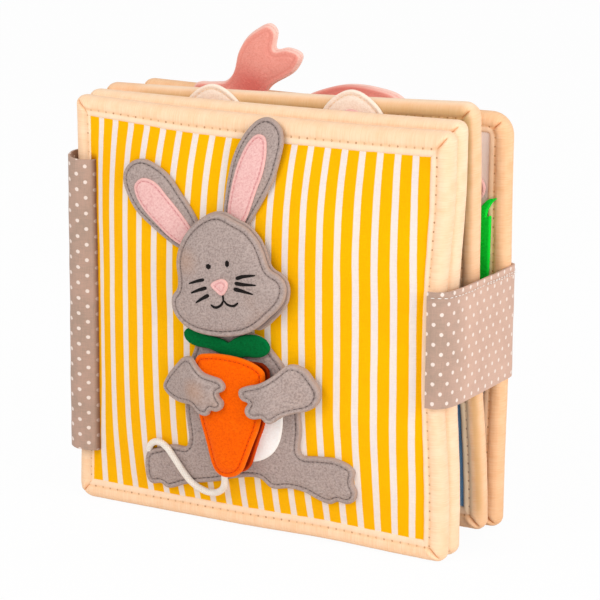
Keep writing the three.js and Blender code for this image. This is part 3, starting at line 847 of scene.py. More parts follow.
class Piece:
    """A mesh under way, in the book's own millimetres."""

    def __init__(self, name: str) -> None:
        """Starts an empty mesh.

        Args:
            name: The piece's name.
        """
        self.name = name
        self.bm = bmesh.new()
        self.uv = self.bm.loops.layers.uv.new("Sewn")
        grain = bmesh.new()
        bmesh.ops.create_uvsphere(grain, u_segments=6, v_segments=5, radius=1.0)
        grain.verts.index_update()
        points = np.array([v.co[:] for v in grain.verts])
        self.grain = (points, [[v.index for v in f.verts] for f in grain.faces])
        grain.free()

    def cloth(
        self,
        along: int,
        across: int,
        shape: Callable[[Array, Array], Array],
        flat: tuple[float, float],
        finish: int = 0,
    ) -> list[Vert]:
        """Lays a grid of cloth over a shape.

        Args:
            along: Steps along the cloth.
            across: Steps across the cloth.
            shape: Gives the place of points from their shares along and across, 0 to 1.
            flat: Length and width of the cloth when it lies flat, in millimetres.
            finish: Which of the piece's finishes it takes.

        Returns:
            The grid's vertices.
        """
        made = bmesh.ops.create_grid(self.bm, x_segments=along, y_segments=across, size=0.5)["verts"]
        shares = np.array([(v.co.x + 0.5, v.co.y + 0.5) for v in made])
        for corner in {loop for v in made for loop in v.link_loops}:
            corner[self.uv].uv = ((corner.vert.co.x + 0.5) * flat[0], (corner.vert.co.y + 0.5) * flat[1])
        for face in {f for v in made for f in v.link_faces}:
            face.material_index = finish
        for vert, place in zip(made, shape(shares[:, 0], shares[:, 1])):
            vert.co = place
        return made

    def close(self, verts: Sequence[Vert]) -> None:
        """Merges points that lie on each other."""
        bmesh.ops.remove_doubles(self.bm, verts=list(verts), dist=0.002)

    def bridge(self, verts: Sequence[Vert], finish: int = 0) -> None:
        """Joins the open edges of two sheets.

        Args:
            verts: The vertices of both sheets.
            finish: Which of the piece's finishes the rim takes.
        """
        rim = list({e for v in verts for e in v.link_edges if e.is_boundary})
        for face in bmesh.ops.bridge_loops(self.bm, edges=rim)["faces"]:
            face.material_index = finish

    def tube(
        self, path: Array, radius: Array, sides: int = 8, flatten: float = 1.0
    ) -> list[Vert]:
        """Runs a thread or cord along a path, closed at both ends.

        Args:
            path: The points that it follows.
            radius: Its radius at each of them.
            sides: How many sides it has.
            flatten: Its height as a share of its width.

        Returns:
            Its vertices.
        """
        count = len(path)
        ahead = directions(path)
        side = np.cross(ahead, np.tile(FORWARD, (count, 1)))
        side /= np.maximum(np.linalg.norm(side, axis=1, keepdims=True), 1e-6)
        up = np.cross(side, ahead)

        def shape(u: Array, v: Array) -> Array:
            """Places the skin.

            Args:
                u: Shares of the way along.
                v: Shares of the way across.

            Returns:
                The points.
            """
            at = np.rint(u * (count - 1)).astype(int)
            turn = 2 * math.pi * v
            reach = radius[at][:, None]
            round_ = side[at] * np.cos(turn)[:, None] + up[at] * flatten * np.sin(turn)[:, None]
            return path[at] + reach * round_

        verts = self.cloth(count - 1, sides, shape, (float(run_along(path)[-1]), 1.0))
        self.close(verts)
        return verts

    def stitch(
        self, at: Array, ahead: Array, out: Array, size: tuple[float, float, float]
    ) -> None:
        """Adds one stitch, a slim rounded grain of thread.

        Args:
            at: Its middle.
            ahead: The way it runs.
            out: The way it faces.
            size: Half its length, width and height.
        """
        x = ahead / np.linalg.norm(ahead)
        z = out - x * float(np.dot(out, x))
        z = z / np.linalg.norm(z)
        axes = np.stack([x, np.cross(z, x), z]) * np.array(size)[:, None]
        points, faces = self.grain
        verts = [self.bm.verts.new(p) for p in at + points @ axes]
        for corners in faces:
            self.bm.faces.new([verts[i] for i in corners])

    def sew_line(
        self,
        line: Array,
        out: Array,
        length: float = 2.0,
        width: float = 0.5,
        height: float = 0.3,
        closed: bool = True,
    ) -> None:
        """Sews a row of stitches, one between each pair of points.

        Args:
            line: The points where the needle goes through.
            out: The way that the cloth faces, at each point or for all.
            length: Length of a stitch, in millimetres.
            width: Its width.
            height: Its height.
            closed: Whether the row goes back to its start.
        """
        ahead = np.roll(line, -1, 0) if closed else np.vstack([line[1:], line[-1:]])
        facing = np.broadcast_to(out, line.shape)
        for a, b, n in zip(line, ahead, facing):
            if 0.2 < np.linalg.norm(b - a) < 3 * length:
                self.stitch((a + b) / 2, b - a, n, (length / 2, width / 2, height))


class Bench:
    """Where the book lies in the frame, and how pieces get there."""

    def __init__(self, finishes: Finishes) -> None:
        """Reads the place of the cover's binding from the frame.

        Args:
            finishes: The book's materials.
        """
        low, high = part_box("front_cover_binding")
        self.finishes = finishes
        corner = Vector((low.x, (low.y + high.y) / 2, low.z))
        self.matrix = Matrix.Translation(corner) @ Matrix.Scale(0.001, 4)

    def frame(self, point: Sequence[float]) -> Vector:
        """A point of the book, in the frame."""
        return self.matrix @ Vector(point)

    def lay(
        self,
        piece: Piece,
        finishes: Sequence[str],
        body: str | None,
        replaces: Sequence[str] = (),
        slot: str | None = None,
    ) -> Object:
        """Makes a piece an object of the scene.

        Args:
            piece: The piece.
            finishes: The names of its materials.
            body: The body that it rides on, or None for a piece that spans two bodies, which is then left on
                no body.
            replaces: The solids that it stands for.
            slot: The record's material slot; not used.

        Returns:
            The object.
        """
        bmesh.ops.recalc_face_normals(piece.bm, faces=piece.bm.faces[:])
        bmesh.ops.transform(piece.bm, matrix=self.matrix, verts=piece.bm.verts[:])
        mesh = bpy.data.meshes.new(piece.name)
        piece.bm.to_mesh(mesh)
        piece.bm.free()
        mesh.shade_smooth()
        mesh.set_sharp_from_angle(angle=CREASE)
        for name in finishes:
            mesh.materials.append(self.finishes[name])
        made = stand(piece.name, mesh)
        if body is not None:
            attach(made, body)
        if replaces:
            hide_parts(*replaces)
        log.info("%s: %d faces on %s", piece.name, len(mesh.polygons), body or "two bodies")
        return made


@dataclass
class Crown:
    """How a padded face rises from its binding."""

    height: float
    left: tuple[float, float] = (40.0, 2.2)
    right: tuple[float, float] = (40.0, 2.2)
    top: tuple[float, float] = (40.0, 2.2)
    bottom: tuple[float, float] = (40.0, 2.2)
    edge: float = 4.3
    starts: tuple[float, float, float, float] = (8.2, 9.0, 9.0, 8.4)

    def depth(self, x: Array, z: Array) -> Array:
        """How far the face lies from the leaf's middle plane.

        Args:
            x: Places across the leaf.
            z: Places up the leaf.

        Returns:
            The depths.
        """
        def side(inside: Array, start: float, run: float, power: float) -> Array:
            """The rise from one edge."""
            return 1 - (1 - np.clip((inside - start) / run, 0, 1)) ** power

        left, right, top, bottom = self.starts
        rise = side(x, left, *self.left) * side(LEAF - x, right, *self.right)
        rise = rise * side(z, bottom, *self.bottom) * side(LEAF - z, top, *self.top)
        return self.edge + self.height * rise


@dataclass
class Leaf:
    """One padded leaf: two cloth panels, wadding between them and a binding all round."""

    bench: Bench
    name: str
    y: float
    front: Crown
    back: Crown
    front_cloth: str
    back_cloth: str
    lean: float = 0.0
    lift: float = 0.0
    pull_top: float = 0.6
    pull_right: float = 0.6
    widths: tuple[float, float, float, float] = (9.0, 9.6, 9.4, 8.6)
    turn: float = 0.0
    taller: tuple[float, float] = (0.0, 0.0)
    tape: str = "binding"
    trim: float = 0.0
    squeeze: float = 0.0
    slim: float = 0.0
    radius: float = 5.0

    def pulled(self, x: Array, z: Array) -> tuple[Array, Array]:
        """Draws the sides in between the corners, as stuffing does.

        Args:
            x: Places across the leaf.
            z: Places up the leaf.

        Returns:
            The places after that.
        """
        arch_x = 1 - np.abs(2 * x / LEAF - 1) ** 2.2
        arch_z = 1 - np.abs(2 * z / LEAF - 1) ** 2.2
        pinch = 1 - ease(np.abs(z - LEAF / 2), 10, 80)
        squeezed = self.squeeze * pinch * np.clip((x - 189) / 11, 0, 1)
        squeezed = squeezed + self.trim * ease(z, 10, 120) * ease(x, 110, 200)
        moved_x = x - squeezed - self.pull_right * pinch * ease(x, 80, 195)
        moved_x = moved_x + 1.3 * arch_z * ease(LEAF - x, 140, 195)
        hollow = 0.9 * np.exp(-(((x - 138) / 30) ** 2)) * ease(LEAF - z, 130, 195)
        return moved_x, z - self.pull_top * arch_x * ease(z, 110, 200) + hollow

    def point(self, x: Array, z: Array, depth: Array) -> Array:
        """Places points of the leaf in the book.

        Args:
            x: Places across the leaf.
            z: Places up the leaf.
            depth: How far they lie in front of its middle plane.

        Returns:
            The points.
        """
        x, z, depth = np.broadcast_arrays(*(np.asarray(part, float) for part in (x, z, depth)))
        c, s = math.cos(self.lean), math.sin(self.lean)
        near, far = self.taller
        up = z * (1 + (near + (far - near) * x / LEAF) / LEAF) - LEAF / 2
        y = self.y - depth * c - up * s
        return np.stack([x, y, self.lift + LEAF / 2 - depth * s + up * c], -1)

    def section(self, share: Array) -> tuple[Array, Array]:
        """The binding's section, as insets from the edge in shares of its width and heights off the middle.

        Args:
            share: The share of the way from the front panel round the edge to the back panel.

        Returns:
            Inset shares and heights.
        """
        half = np.abs(2 * share - 1)
        places = np.array((0.0, 0.1, 0.22, 0.36, 0.5, 0.63, 0.71, 0.76, 0.81, 0.9, 0.97, 1.0))
        insets = np.array((0.0, 0.01, 0.06, 0.16, 0.31, 0.48, 0.6, 0.67, 0.74, 0.87, 0.97, 1.0))
        heights = np.array((0.0, 1.5, 3.1, 4.4, 5.2, 5.45, 5.2, 4.85, 5.1, 5.2, 5.05, 4.3))
        height = np.sign(1 - 2 * share) * np.interp(half, places, heights)
        return np.interp(half, places, insets), height

    def edge(self, side: Array, along: Array, share: Array) -> Array:
        """Places points of the binding.

        Args:
            side: 0 below, 1 at the fore-edge, 2 above, 3 at the spine.
            along: The share of the way along that side.
            share: The share of the way round the section.

        Returns:
            The points.
        """
        inset, height = self.section(share)
        width = np.asarray(self.widths)
        start = width[(side - 1) % 4]
        here = width[side]
        end = width[(side + 1) % 4]
        deep = inset * here
        a = inset * start + along * (LEAF - inset * (start + end))
        flat = {0: (a, deep), 1: (LEAF - deep, a), 2: (LEAF - a, LEAF - deep), 3: (deep, LEAF - a)}
        x = np.select([side == k for k in range(4)], [flat[k][0] for k in range(4)])
        z = np.select([side == k for k in range(4)], [flat[k][1] for k in range(4)])
        near = along * LEAF
        far = (1 - along) * LEAF
        body = ease(inset, 0.02, 0.25) * (1 - ease(inset, 0.5, 0.72))
        fold = 1.5 * np.exp(-((near / 1.0) ** 2)) + 1.5 * np.exp(-((far / 1.0) ** 2))
        lap = 0.7 * np.exp(-(((far - 2.6) / 1.6) ** 2)) + 0.25 * np.exp(-(((near - 3.0) / 2.0) ** 2))
        wave = 0.16 * ripple(x + 7 * side, z, 17.0, self.turn) + 0.1 * ripple(x, z, 5.1, self.turn + 2)
        wave = np.sign(height) * wave * ease(np.abs(height), 1, 4)
        height = height * (1 - body * (fold - lap) / 6.0) + wave
        z = z + self.slim * np.clip((LEAF - z) / 11.6, 0, 1) * ease(z, 150, 188) * (1 - ease(x, 9, 75))
        x, z = self.rounded(x, z)
        x, z = self.pulled(x, z)
        return self.point(x, z, height)

    def rounded(self, x: Array, z: Array) -> tuple[Array, Array]:
        """Rounds the leaf's corners.

        Args:
            x: Places across the leaf.
            z: Places up the leaf.

        Returns:
            The places after that.
        """
        outer, upper = x > LEAF / 2, z > LEAF / 2
        radius = np.where(outer & upper, self.radius, np.where(outer | upper, 4.5, 8.0))
        ex, ez = np.minimum(x, LEAF - x), np.minimum(z, LEAF - z)
        qx, qz = np.maximum(radius - ex, 0), np.maximum(radius - ez, 0)
        length = np.hypot(qx, qz)
        grow = np.where((qx > 0) & (qz > 0), np.maximum(qx, qz) / np.maximum(length, 1e-9), 1.0)
        new_x = np.where(qx > 0, radius - qx * grow, ex)
        new_z = np.where(qz > 0, radius - qz * grow, ez)
        left, below = x < LEAF / 2, z < LEAF / 2
        return np.where(left, new_x, LEAF - new_x), np.where(below, new_z, LEAF - new_z)

    def pad(self) -> Object:
        """Builds the stuffed pad between the bindings.

        Returns:
            The pad.
        """
        piece = Piece(f"{self.name}_pad")
        wide = LEAF - 2 * TUCK

        def panel(crown: Crown, facing: int) -> Callable[[Array, Array], Array]:
            """The shape of one panel.

            Args:
                crown: How it rises.
                facing: 1 in front, -1 at the back.

            Returns:
                Its shape.
            """
            def shape(u: Array, v: Array) -> Array:
                """Places the panel's cloth.

                Args:
                    u: Shares of the way along.
                    v: Shares of the way across.

                Returns:
                    The points.
                """
                x, z = TUCK + u * wide, TUCK + v * wide
                depth = crown.depth(x, z)
                inside = np.minimum(np.minimum(x, LEAF - x), np.minimum(z, LEAF - z))
                loose = ease(inside, 12, 26)
                depth = depth - 1.8 * ease(-inside, -7.8, -5.0)
                pucker = np.exp(-np.maximum(inside - 14, 0) / 5.0) * ease(inside, 10, 14)
                depth = depth + 0.22 * loose * ripple(x, z, 46.0, self.turn + facing)
                depth = depth + 0.14 * pucker * ripple(x, z, 9.0, self.turn + 3 * facing)
                px, pz = self.pulled(x, z)
                return self.point(px, pz, facing * depth)

            return shape

        steps, flat = (PANEL_STEPS, PANEL_STEPS), (wide, wide)
        verts = piece.cloth(*steps, panel(self.front, 1), flat, 0)
        verts += piece.cloth(*steps, panel(self.back, -1), flat, 1)
        piece.bridge(verts, 1)
        nodes = [f"{self.name}_{part}" for part in ("wadding", "front_panel", "back_panel")]
        made = self.bench.lay(piece, (self.front_cloth, self.back_cloth), self.name, nodes)
        return made

    def binding(self) -> Object:
        """Builds the binding, mitred at its corners.

        Returns:
            The binding.
        """
        piece = Piece(f"{self.name}_edging")

        def shape(u: Array, v: Array) -> Array:
            """Places the tape.

            Args:
                u: Shares of the way along.
                v: Shares of the way across.

            Returns:
                The points.
            """
            run = np.clip(u * 4, 0, 4 - 1e-9)
            side = np.floor(run).astype(int)
            part = run - side
            corner = np.isclose(u, 1.0)
            side, part = np.where(corner, 0, side), np.where(corner, 0.0, part)
            bias = 0.5 - 0.5 * np.cos(np.pi * part)
            return self.edge(side, 0.3 * part + 0.7 * bias, v)

        verts = piece.cloth(4 * SIDE_STEPS, ROUND_STEPS, shape, (4.0, 1.0))
        mitre = piece.bm.loops.layers.uv.new("Mitre")
        corners = list({loop for vert in verts for loop in vert.link_loops})
        share = np.array([tuple(corner[piece.uv].uv) for corner in corners])
        side = np.clip(np.floor(share[:, 0] + 1e-5), 0, 3).astype(int)
        part = share[:, 0] - side
        along = 0.3 * part + 0.35 - 0.35 * np.cos(np.pi * part)
        inset, _ = self.section(share[:, 1])
        width = np.asarray(self.widths)
        start, end = inset * width[(side - 1) % 4], inset * width[(side + 1) % 4]
        run = side * LEAF + start + along * (LEAF - start - end)
        away = np.minimum(along, 1 - along) * LEAF
        across = share[:, 1] * TAPE
        if self.slim:
            across = across + np.where(side == 3, 1.95 * (1 - ease(across, 3, 10)), 0.0)
        for corner, u, v, off in zip(corners, run, across, away):
            corner[piece.uv].uv = (u, v)
            corner[mitre].uv = (off, 0.0)
        piece.close(verts)
        nodes = [f"{self.name}_binding"]
        return self.bench.lay(piece, (self.tape,), self.name, nodes, slot="binding")

    def topstitch(self) -> Object:
        """Sews the row of stitches along both faces of the binding.

        Returns:
            The stitches.
        """
        piece = Piece(f"{self.name}_topstitch")
        count = int((LEAF - 18) / NEEDLE_PITCH)
        for share, facing in ((0.12, -1.0), (0.88, 1.0)):
            for side in range(4):
                along = np.linspace(0.02, 0.98, count)
                close = 0.45 if self.slim and side == 3 and facing < 0 else 1.0
                line = self.edge(np.full(count, side), along, np.full(count, share * close))
                out = np.array((0.0, facing, 0.0))
                piece.sew_line(line - out * 0.06, out, NEEDLE_PITCH * 0.74, 0.42, 0.2, closed=False)
        return self.bench.lay(piece, ("peach_thread",), self.name)

    def build(self) -> None:
        """Builds and dresses the leaf."""
        self.pad()
        self.binding()
        self.topstitch()


@dataclass
class FeltCut:
    """A piece of felt cut to an outline and sewn down inside its edge."""

    name: str
    outline: Array
    thickness: float
    seat: Depth
    leaf: Leaf
    drawn: Depth | None = None
    swell: float = 0.0
    swell_run: float = 14.0
    stitch_in: float = 2.3
    groove: float = 0.6
    density: float = 1.9
    rounding: float = 0.9
    turn: float = 0.0
    bend: Bend | None = None
    line: Array = field(default_factory=lambda: np.zeros((0, 2)))

    def __post_init__(self) -> None:
        """Spaces the outline evenly and finds the line that the stitches follow."""
        self.outline = evenly(np.asarray(self.outline, float), 0.95)
        if self.stitch_in > 0:
            self.line = drawn_in(self.outline, self.stitch_in, 2.5)

    def rise(self, points: Array) -> Array:
        """How far the front stands above the seat.

        Args:
            points: Points in x and z.

        Returns:
            The heights.
        """
        inside = edge_distance(points, self.outline)
        rim = 1 - (1 - np.clip(inside / self.rounding, 0, 1)) ** 2
        height = self.thickness * (0.55 + 0.45 * np.sqrt(rim))
        if self.stitch_in > 0:
            height = height - self.groove * np.exp(-(((inside - self.stitch_in) / 0.5) ** 2))
        full = 1 - (1 - np.clip(inside / self.swell_run, 0, 1)) ** 2.4
        wave = 0.1 * ripple(points[:, 0], points[:, 1], 11.0, self.turn) * ease(inside, 1.0, 4.0)
        return height + self.swell * full + wave

    def place(self, points: Array, rise: Array) -> Array:
        """Places points of the felt in the book.

        Args:
            points: Points in x and z, as drawn.
            rise: How far they stand above the seat.

        Returns:
            The points.
        """
        x, z = points[:, 0], points[:, 1]
        seat = self.seat(x, z)
        if self.drawn is not None:
            slide = seat + 0.45 * self.thickness - self.drawn(x, z)
            x, z = x + VIEW_SLIDE[0] * slide, z + VIEW_SLIDE[1] * slide
        return self.leaf.point(x, z, seat + rise)

    def front(self, points: Array, above: float = 0.0) -> Array:
        """Points on the felt's front, or a little above it."""
        return self.place(points, self.rise(points) + above)

    def build(self, finish: str, body: str, replaces: Sequence[str] = ()) -> Object:
        """Cuts the felt.

        Args:
            finish: Its material.
            body: The body that it rides on.
            replaces: The solids that it stands for.

        Returns:
            The felt.
        """
        rim = self.outline
        insets = [0.22, 0.55, 1.0]
        if self.stitch_in > 0:
            insets = [i for i in insets if i < self.stitch_in - 0.9]
            insets += [self.stitch_in + step for step in (-0.75, -0.38, 0.0, 0.38, 0.75)]
        rows = [drawn_in(rim, inset, 1.15) for inset in insets]
        low, high = rim.min(0), rim.max(0)
        xs = np.arange(low[0], high[0], self.density)
        zs = np.arange(low[1], high[1], self.density * 0.87)
        grid = np.array([(x + (i % 2) * self.density / 2, z) for i, z in enumerate(zs) for x in xs])
        grid = grid[lies_inside(grid, rim)]
        grid = grid[edge_distance(grid, rim) > insets[-1] + 0.8]
        cloud = np.vstack([rim, *rows, grid])
        count = len(rim)
        edges = [(i, (i + 1) % count) for i in range(count)]
        cut = delaunay_2d_cdt([Vector(p) for p in cloud], edges, [], 1, 1e-5)
        flat = np.array([tuple(v) for v in cut[0]])
        piece = Piece(self.name)
        made: list[Vert] = []
        inside = edge_distance(flat, self.outline)
        for height in (self.rise(flat), np.zeros(len(flat))):
            verts = [piece.bm.verts.new(p) for p in self.place(flat, height)]
            for corners in cut[2]:
                face = piece.bm.faces.new([verts[i] for i in corners])
                for loop, i in zip(face.loops, corners):
                    loop[piece.uv].uv = (inside[i], self.stitch_in)
            made += verts
        piece.bridge([v for v in made if v.link_faces])
        bmesh.ops.delete(piece.bm, geom=[v for v in piece.bm.verts if not v.link_faces], context="VERTS")
        rider = None if self.bend else body
        felt = self.leaf.bench.lay(piece, (finish,), rider, replaces, slot=SHADE_OF.get(finish, finish))
        return self.fasten(felt)

    def fasten(self, made: Object) -> Object:
        """Bakes a flap's place into its mesh, and leaves any other piece as it is.

        Args:
            made: The felt or its stitches.

        Returns:
            The same piece.
        """
        if self.bend is not None:
            start, end = (self.leaf.bench.frame(place) for place in self.bend)
            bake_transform(made)
        return made

    def sew(self, thread: str, body: str, width: float = 0.5) -> Object:
        """Sews the felt down inside its edge.

        Args:
            thread: The thread's material.
            body: The body that it rides on.
            width: Width of the thread.

        Returns:
            The stitches.
        """
        piece = Piece(f"{self.name}_stitches")
        piece.sew_line(self.front(self.line, 0.05), FORWARD, 2.0, width, 0.22)
        return self.fasten(self.leaf.bench.lay(piece, (thread,), None if self.bend else body))


@dataclass
class Wrap:
    """A strip of cloth that is led round an edge, seen from above."""

    bench: Bench
    name: str
    path: Points
    low: float
    high: float
    thickness: float
    slant: float = 0.0
    offset: float = 0.0
    crosswise: bool = False
    rise: float = 0.0
    bulge: float = 0.0
    cloth: str = "dotted_cotton"
    line: Array = field(default_factory=lambda: np.zeros((0, 2)))
    run: Array = field(default_factory=lambda: np.zeros(0))

    def __post_init__(self) -> None:
        """Smooths the path and measures it."""
        self.line = soften(evenly(np.asarray(self.path, float), 1.0, closed=False), 3)
        self.run = run_along(self.line)

    @property
    def length(self) -> float:
        """The strip's length."""
        return float(self.run[-1])

    def place(self, at: Array, z: Array, out: float = 0.0) -> Array:
        """Places points of the cloth.

        Args:
            at: How far along the strip they lie.
            z: How high they lie.
            out: How far off the cloth they stand.

        Returns:
            The points.
        """
        x, y = np.interp(at, self.run, self.line[:, 0]), np.interp(at, self.run, self.line[:, 1])
        ahead = directions(self.line)
        facing = np.stack([np.interp(at, self.run, ahead[:, 1]), -np.interp(at, self.run, ahead[:, 0])], -1)
        share = (z - self.low) / (self.high - self.low)
        x = x + (self.slant * (0.5 - share) + self.bulge * share * (1 - share)) * ease(-at, -16, 0)
        wave = out + 0.16 * ripple(at + self.offset, z, 26.0, 2.0)
        z = z + self.rise * ease(at + self.offset, 4, 20)
        return np.stack([x + facing[:, 0] * wave, y + facing[:, 1] * wave, z], -1)

    def build(
        self,
        bodies: tuple[str, str],
        bend: Bend,
        replaces: Sequence[str],
        rests_on: Sequence[str],
    ) -> Object:
        """Makes the strip.

        Args:
            bodies: The two bodies that it spans; not used.
            bend: Where it starts to follow the second, and where it follows that alone.
            replaces: The solids that it stands for.
            rests_on: The pieces that it lies on; not used.

        Returns:
            The strip.
        """
        width = self.high - self.low
        piece = Piece(self.name)

        def shape(u: Array, v: Array) -> Array:
            """Places the cloth."""
            return self.place(u * self.length, self.low + v * width)

        verts = piece.cloth(len(self.line) * 2, int(width / 1.5), shape, (self.length, width))
        for corner in {loop for vert in verts for loop in vert.link_loops}:
            mark = corner[piece.uv].uv
            u, v = mark.x + self.offset, mark.y
            corner[piece.uv].uv = (v, u) if self.crosswise else (u, v)
        at, z = self.run, np.full(len(self.run), self.low)
        outward = Vector((self.place(at, z, 1.0) - self.place(at, z)).sum(0))
        piece.bm.normal_update()
        if sum((f.normal for f in piece.bm.faces), Vector()).dot(outward) < 0:
            bmesh.ops.reverse_faces(piece.bm, faces=piece.bm.faces[:])
        bmesh.ops.solidify(piece.bm, geom=piece.bm.faces[:], thickness=self.thickness)
        made = self.bench.lay(piece, (self.cloth,), None, replaces, slot="dotted_cotton")
        self.join(made, bend)
        return made

    def hem(
        self,
        bodies: tuple[str, str],
        bend: Bend,
        rows: Sequence[tuple[float, float]],
    ) -> Object:
        """Sews rows of stitches along the strip.

        Args:
            bodies: The two bodies that it spans; not used.
            bend: Where it starts to follow the second, and where it follows that alone.
            rows: The height of each row, and how uneven it is.

        Returns:
            The stitches.
        """
        piece = Piece(f"{self.name}_stitches")
        for height, uneven in rows:
            at = np.arange(1.6, self.length - 0.2, 2.9)
            z = height + uneven * np.sin(at * 1.9 + height) * np.sin(at * 0.37)
            line = self.place(at, z, self.thickness * 0.5 + 0.12)
            ahead = np.gradient(line, axis=0)
            out = np.stack([ahead[:, 1], -ahead[:, 0], np.zeros(len(line))], -1)
            piece.sew_line(line, out, 2.1, 0.42, 0.16, closed=False)
        return self.join(self.bench.lay(piece, ("white_thread",), None), bend)

    def join(self, made: Object, bend: Bend) -> Object:
        """Bakes the place of the strip or its stitches into their mesh.

        Args:
            made: The piece.
            bend: Where it starts to follow the second, and where it follows that alone; its points are found
                but not used.

        Returns:
            The same piece.
        """
        start, end = (self.bench.frame(place) for place in bend)
        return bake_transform(made)


@dataclass
class Cover(Leaf):
    """The front cover, whose stuffing swells it well out."""

    def dome(self, x: Array, z: Array) -> Array:
        """Depth of the striped panel."""
        return self.front.depth(np.asarray(x, float), np.asarray(z, float))


@dataclass
class Rabbit:
    """The felt rabbit on the cover, its carrot and the carrot's cord."""

    cover: Cover
    chin: float = 95.8
    head_level: float = 17.2
    face_above: float = 3.7
    face_drawn: float = 20.0
    arm_level: float = 25.0
    arm_solid: float = 10.1
    carrot_seat: float = 3.55
    carrot_middle: float = 94.0
    carrot_shoulder: float = 84.8

    def over_dome(self, above: float, share: float = 1.0, flat: float = 12.0) -> Depth:
        """A seat on the cover's swelling, or part of the way to a flat one."""
        return lambda x, z: share * self.cover.dome(x, z) + (1 - share) * flat + above

    def body(self) -> None:
        """Cuts the body with its legs, and the pale belly."""
        outline = smooth_outline([
            (75, 96), (71.3, 86), (69, 80), (66.6, 66), (66.4, 56), (67.6, 47.8), (68.2, 41.4), (66.4, 37.4),
            (59.3, 37.1), (50.2, 34.2), (45.2, 32), (43.6, 28.6), (43.3, 24.3), (44.1, 18.5), (46.8, 15.6),
            (52.2, 16.5), (55.9, 14.7), (66.7, 18.5), (83.9, 22.8), (95.2, 26.4), (107, 28), (113.6, 24.2),
            (123, 25.6), (130.9, 25.1), (139.5, 22.2), (144.9, 21.4), (148.8, 23.3), (153.4, 22.8),
            (157.2, 24.8), (158.3, 29.3), (156.2, 33.6), (157, 38.9), (154.6, 41.4), (146.9, 43.7),
            (137.7, 43.3), (129.6, 42.8), (128, 44.6), (128.6, 53.5), (128.2, 60.5), (125.7, 74.3),
            (117.8, 85.8), (112.3, 91.4), (107.5, 96.3),
        ])
        cut = FeltCut("rabbit_body_felt", outline, 2.3, self.over_dome(0.1), self.cover, flat_seat(10.4))
        cut.build("grey_felt", "front_cover", ["rabbit_body"])
        cut.sew("grey_thread", "front_cover")
        outline = smooth_outline([
            (95, 66), (111.7, 69.5), (118.5, 64.3), (119.2, 53.7), (116.7, 45.1), (111.9, 39.5),
            (104.3, 36.1), (94, 35.2), (86.8, 43.9), (87.9, 58.7),
        ])
        belly = FeltCut(
            "rabbit_belly_felt", outline, 1.0, self.over_dome(2.45), self.cover, flat_seat(11.7), stitch_in=0
        )
        belly.build("white_felt", "front_cover", ["rabbit_belly"])

    def head(self) -> None:
        """Cuts the head's felts, sews them, and adds the nose and the face."""
        outline = smooth_outline([
            (85.9, 154), (91.6, 154.4), (97.7, 152.2), (104.8, 149.4), (108.3, 146.4), (110.9, 143.5),
            (113.1, 139.5), (114.9, 135.1), (116.1, 132.3), (118.1, 130.6), (121.3, 129.3), (124.2, 126.9),
            (125.4, 123.7), (125.1, 120.2), (123.7, 116.5), (120.7, 112.6), (116.2, 108.3), (111.5, 103.9),
            (105.1, 99.9), (97.6, 97.6), (89.5, 96.5), (81.9, 96.6), (77, 97.4), (72.1, 99.2), (68, 102.3),
            (65, 106.9), (64.9, 112.7), (67.6, 116.6), (68.1, 121.2), (67.2, 128.7), (68.2, 135.3),
            (72, 143), (78.6, 149.9),
        ], 4)
        clear = self.chin + 6.5
        low = np.stack([outline[:, 0], np.maximum(outline[:, 1], clear)], -1)
        base = self.head_level
        slide = base + self.face_above + 0.77 - self.face_drawn
        felts = (("rabbit_head_back_felt", ["rabbit_head_back"]), ("rabbit_head_middle_felt", []))
        for i, (name, node) in enumerate(felts):
            seat = base + 0.1 + 1.8 * i
            drawn = flat_seat(seat + 0.7 - slide)
            middle = low.mean(0)
            aim = (low - middle) / np.linalg.norm(low - middle, axis=1, keepdims=True)
            fuller = np.clip(aim[:, :1], 0, 1) * np.clip(-aim[:, 1:], 0, 1) * 2
            sized = middle + (low - middle) * (1.008 - 0.022 * i) - (0.6, 0.0) + fuller * (1.9, -0.9)
            cut = FeltCut(name, sized, 1.55, flat_seat(seat), self.cover, drawn, stitch_in=0, turn=3.0 + i)
            # The middle felt takes the dark copy of the grey felt: painted shade between the layers.
            cut.build("head_shaded_felt" if i else "grey_felt", "front_cover", node)
        front = FeltCut(
            "rabbit_head_face", outline, 1.7, flat_seat(base + self.face_above), self.cover,
            flat_seat(self.face_drawn), swell=1.9, swell_run=16.0, stitch_in=2.6, groove=0.8,
        )
        made = front.build("grey_felt", "front_cover", ["rabbit_head_front", "rabbit_head_stuffing"])
        front.sew("grey_thread", "front_cover")
        self.face(front)

    def face(self, head: FeltCut) -> None:
        """Adds the nose and embroiders the eyes, whiskers and mouth.

        Args:
            head: The felt that carries them.
        """
        def on_head(above: float) -> Depth:
            """A seat on the head's face.

            Args:
                above: How far above it.

            Returns:
                The seat.
            """
            def seat(x: Array, z: Array) -> Array:
                """Depth of the head's front.

                Args:
                    x: Places across the leaf.
                    z: Places up the leaf.

                Returns:
                    The depths.
                """
                points = np.stack([np.ravel(x), np.ravel(z)], -1)
                top = head.seat(points[:, 0], points[:, 1]) + head.rise(points)
                return top.reshape(np.shape(x)) + above

            return seat

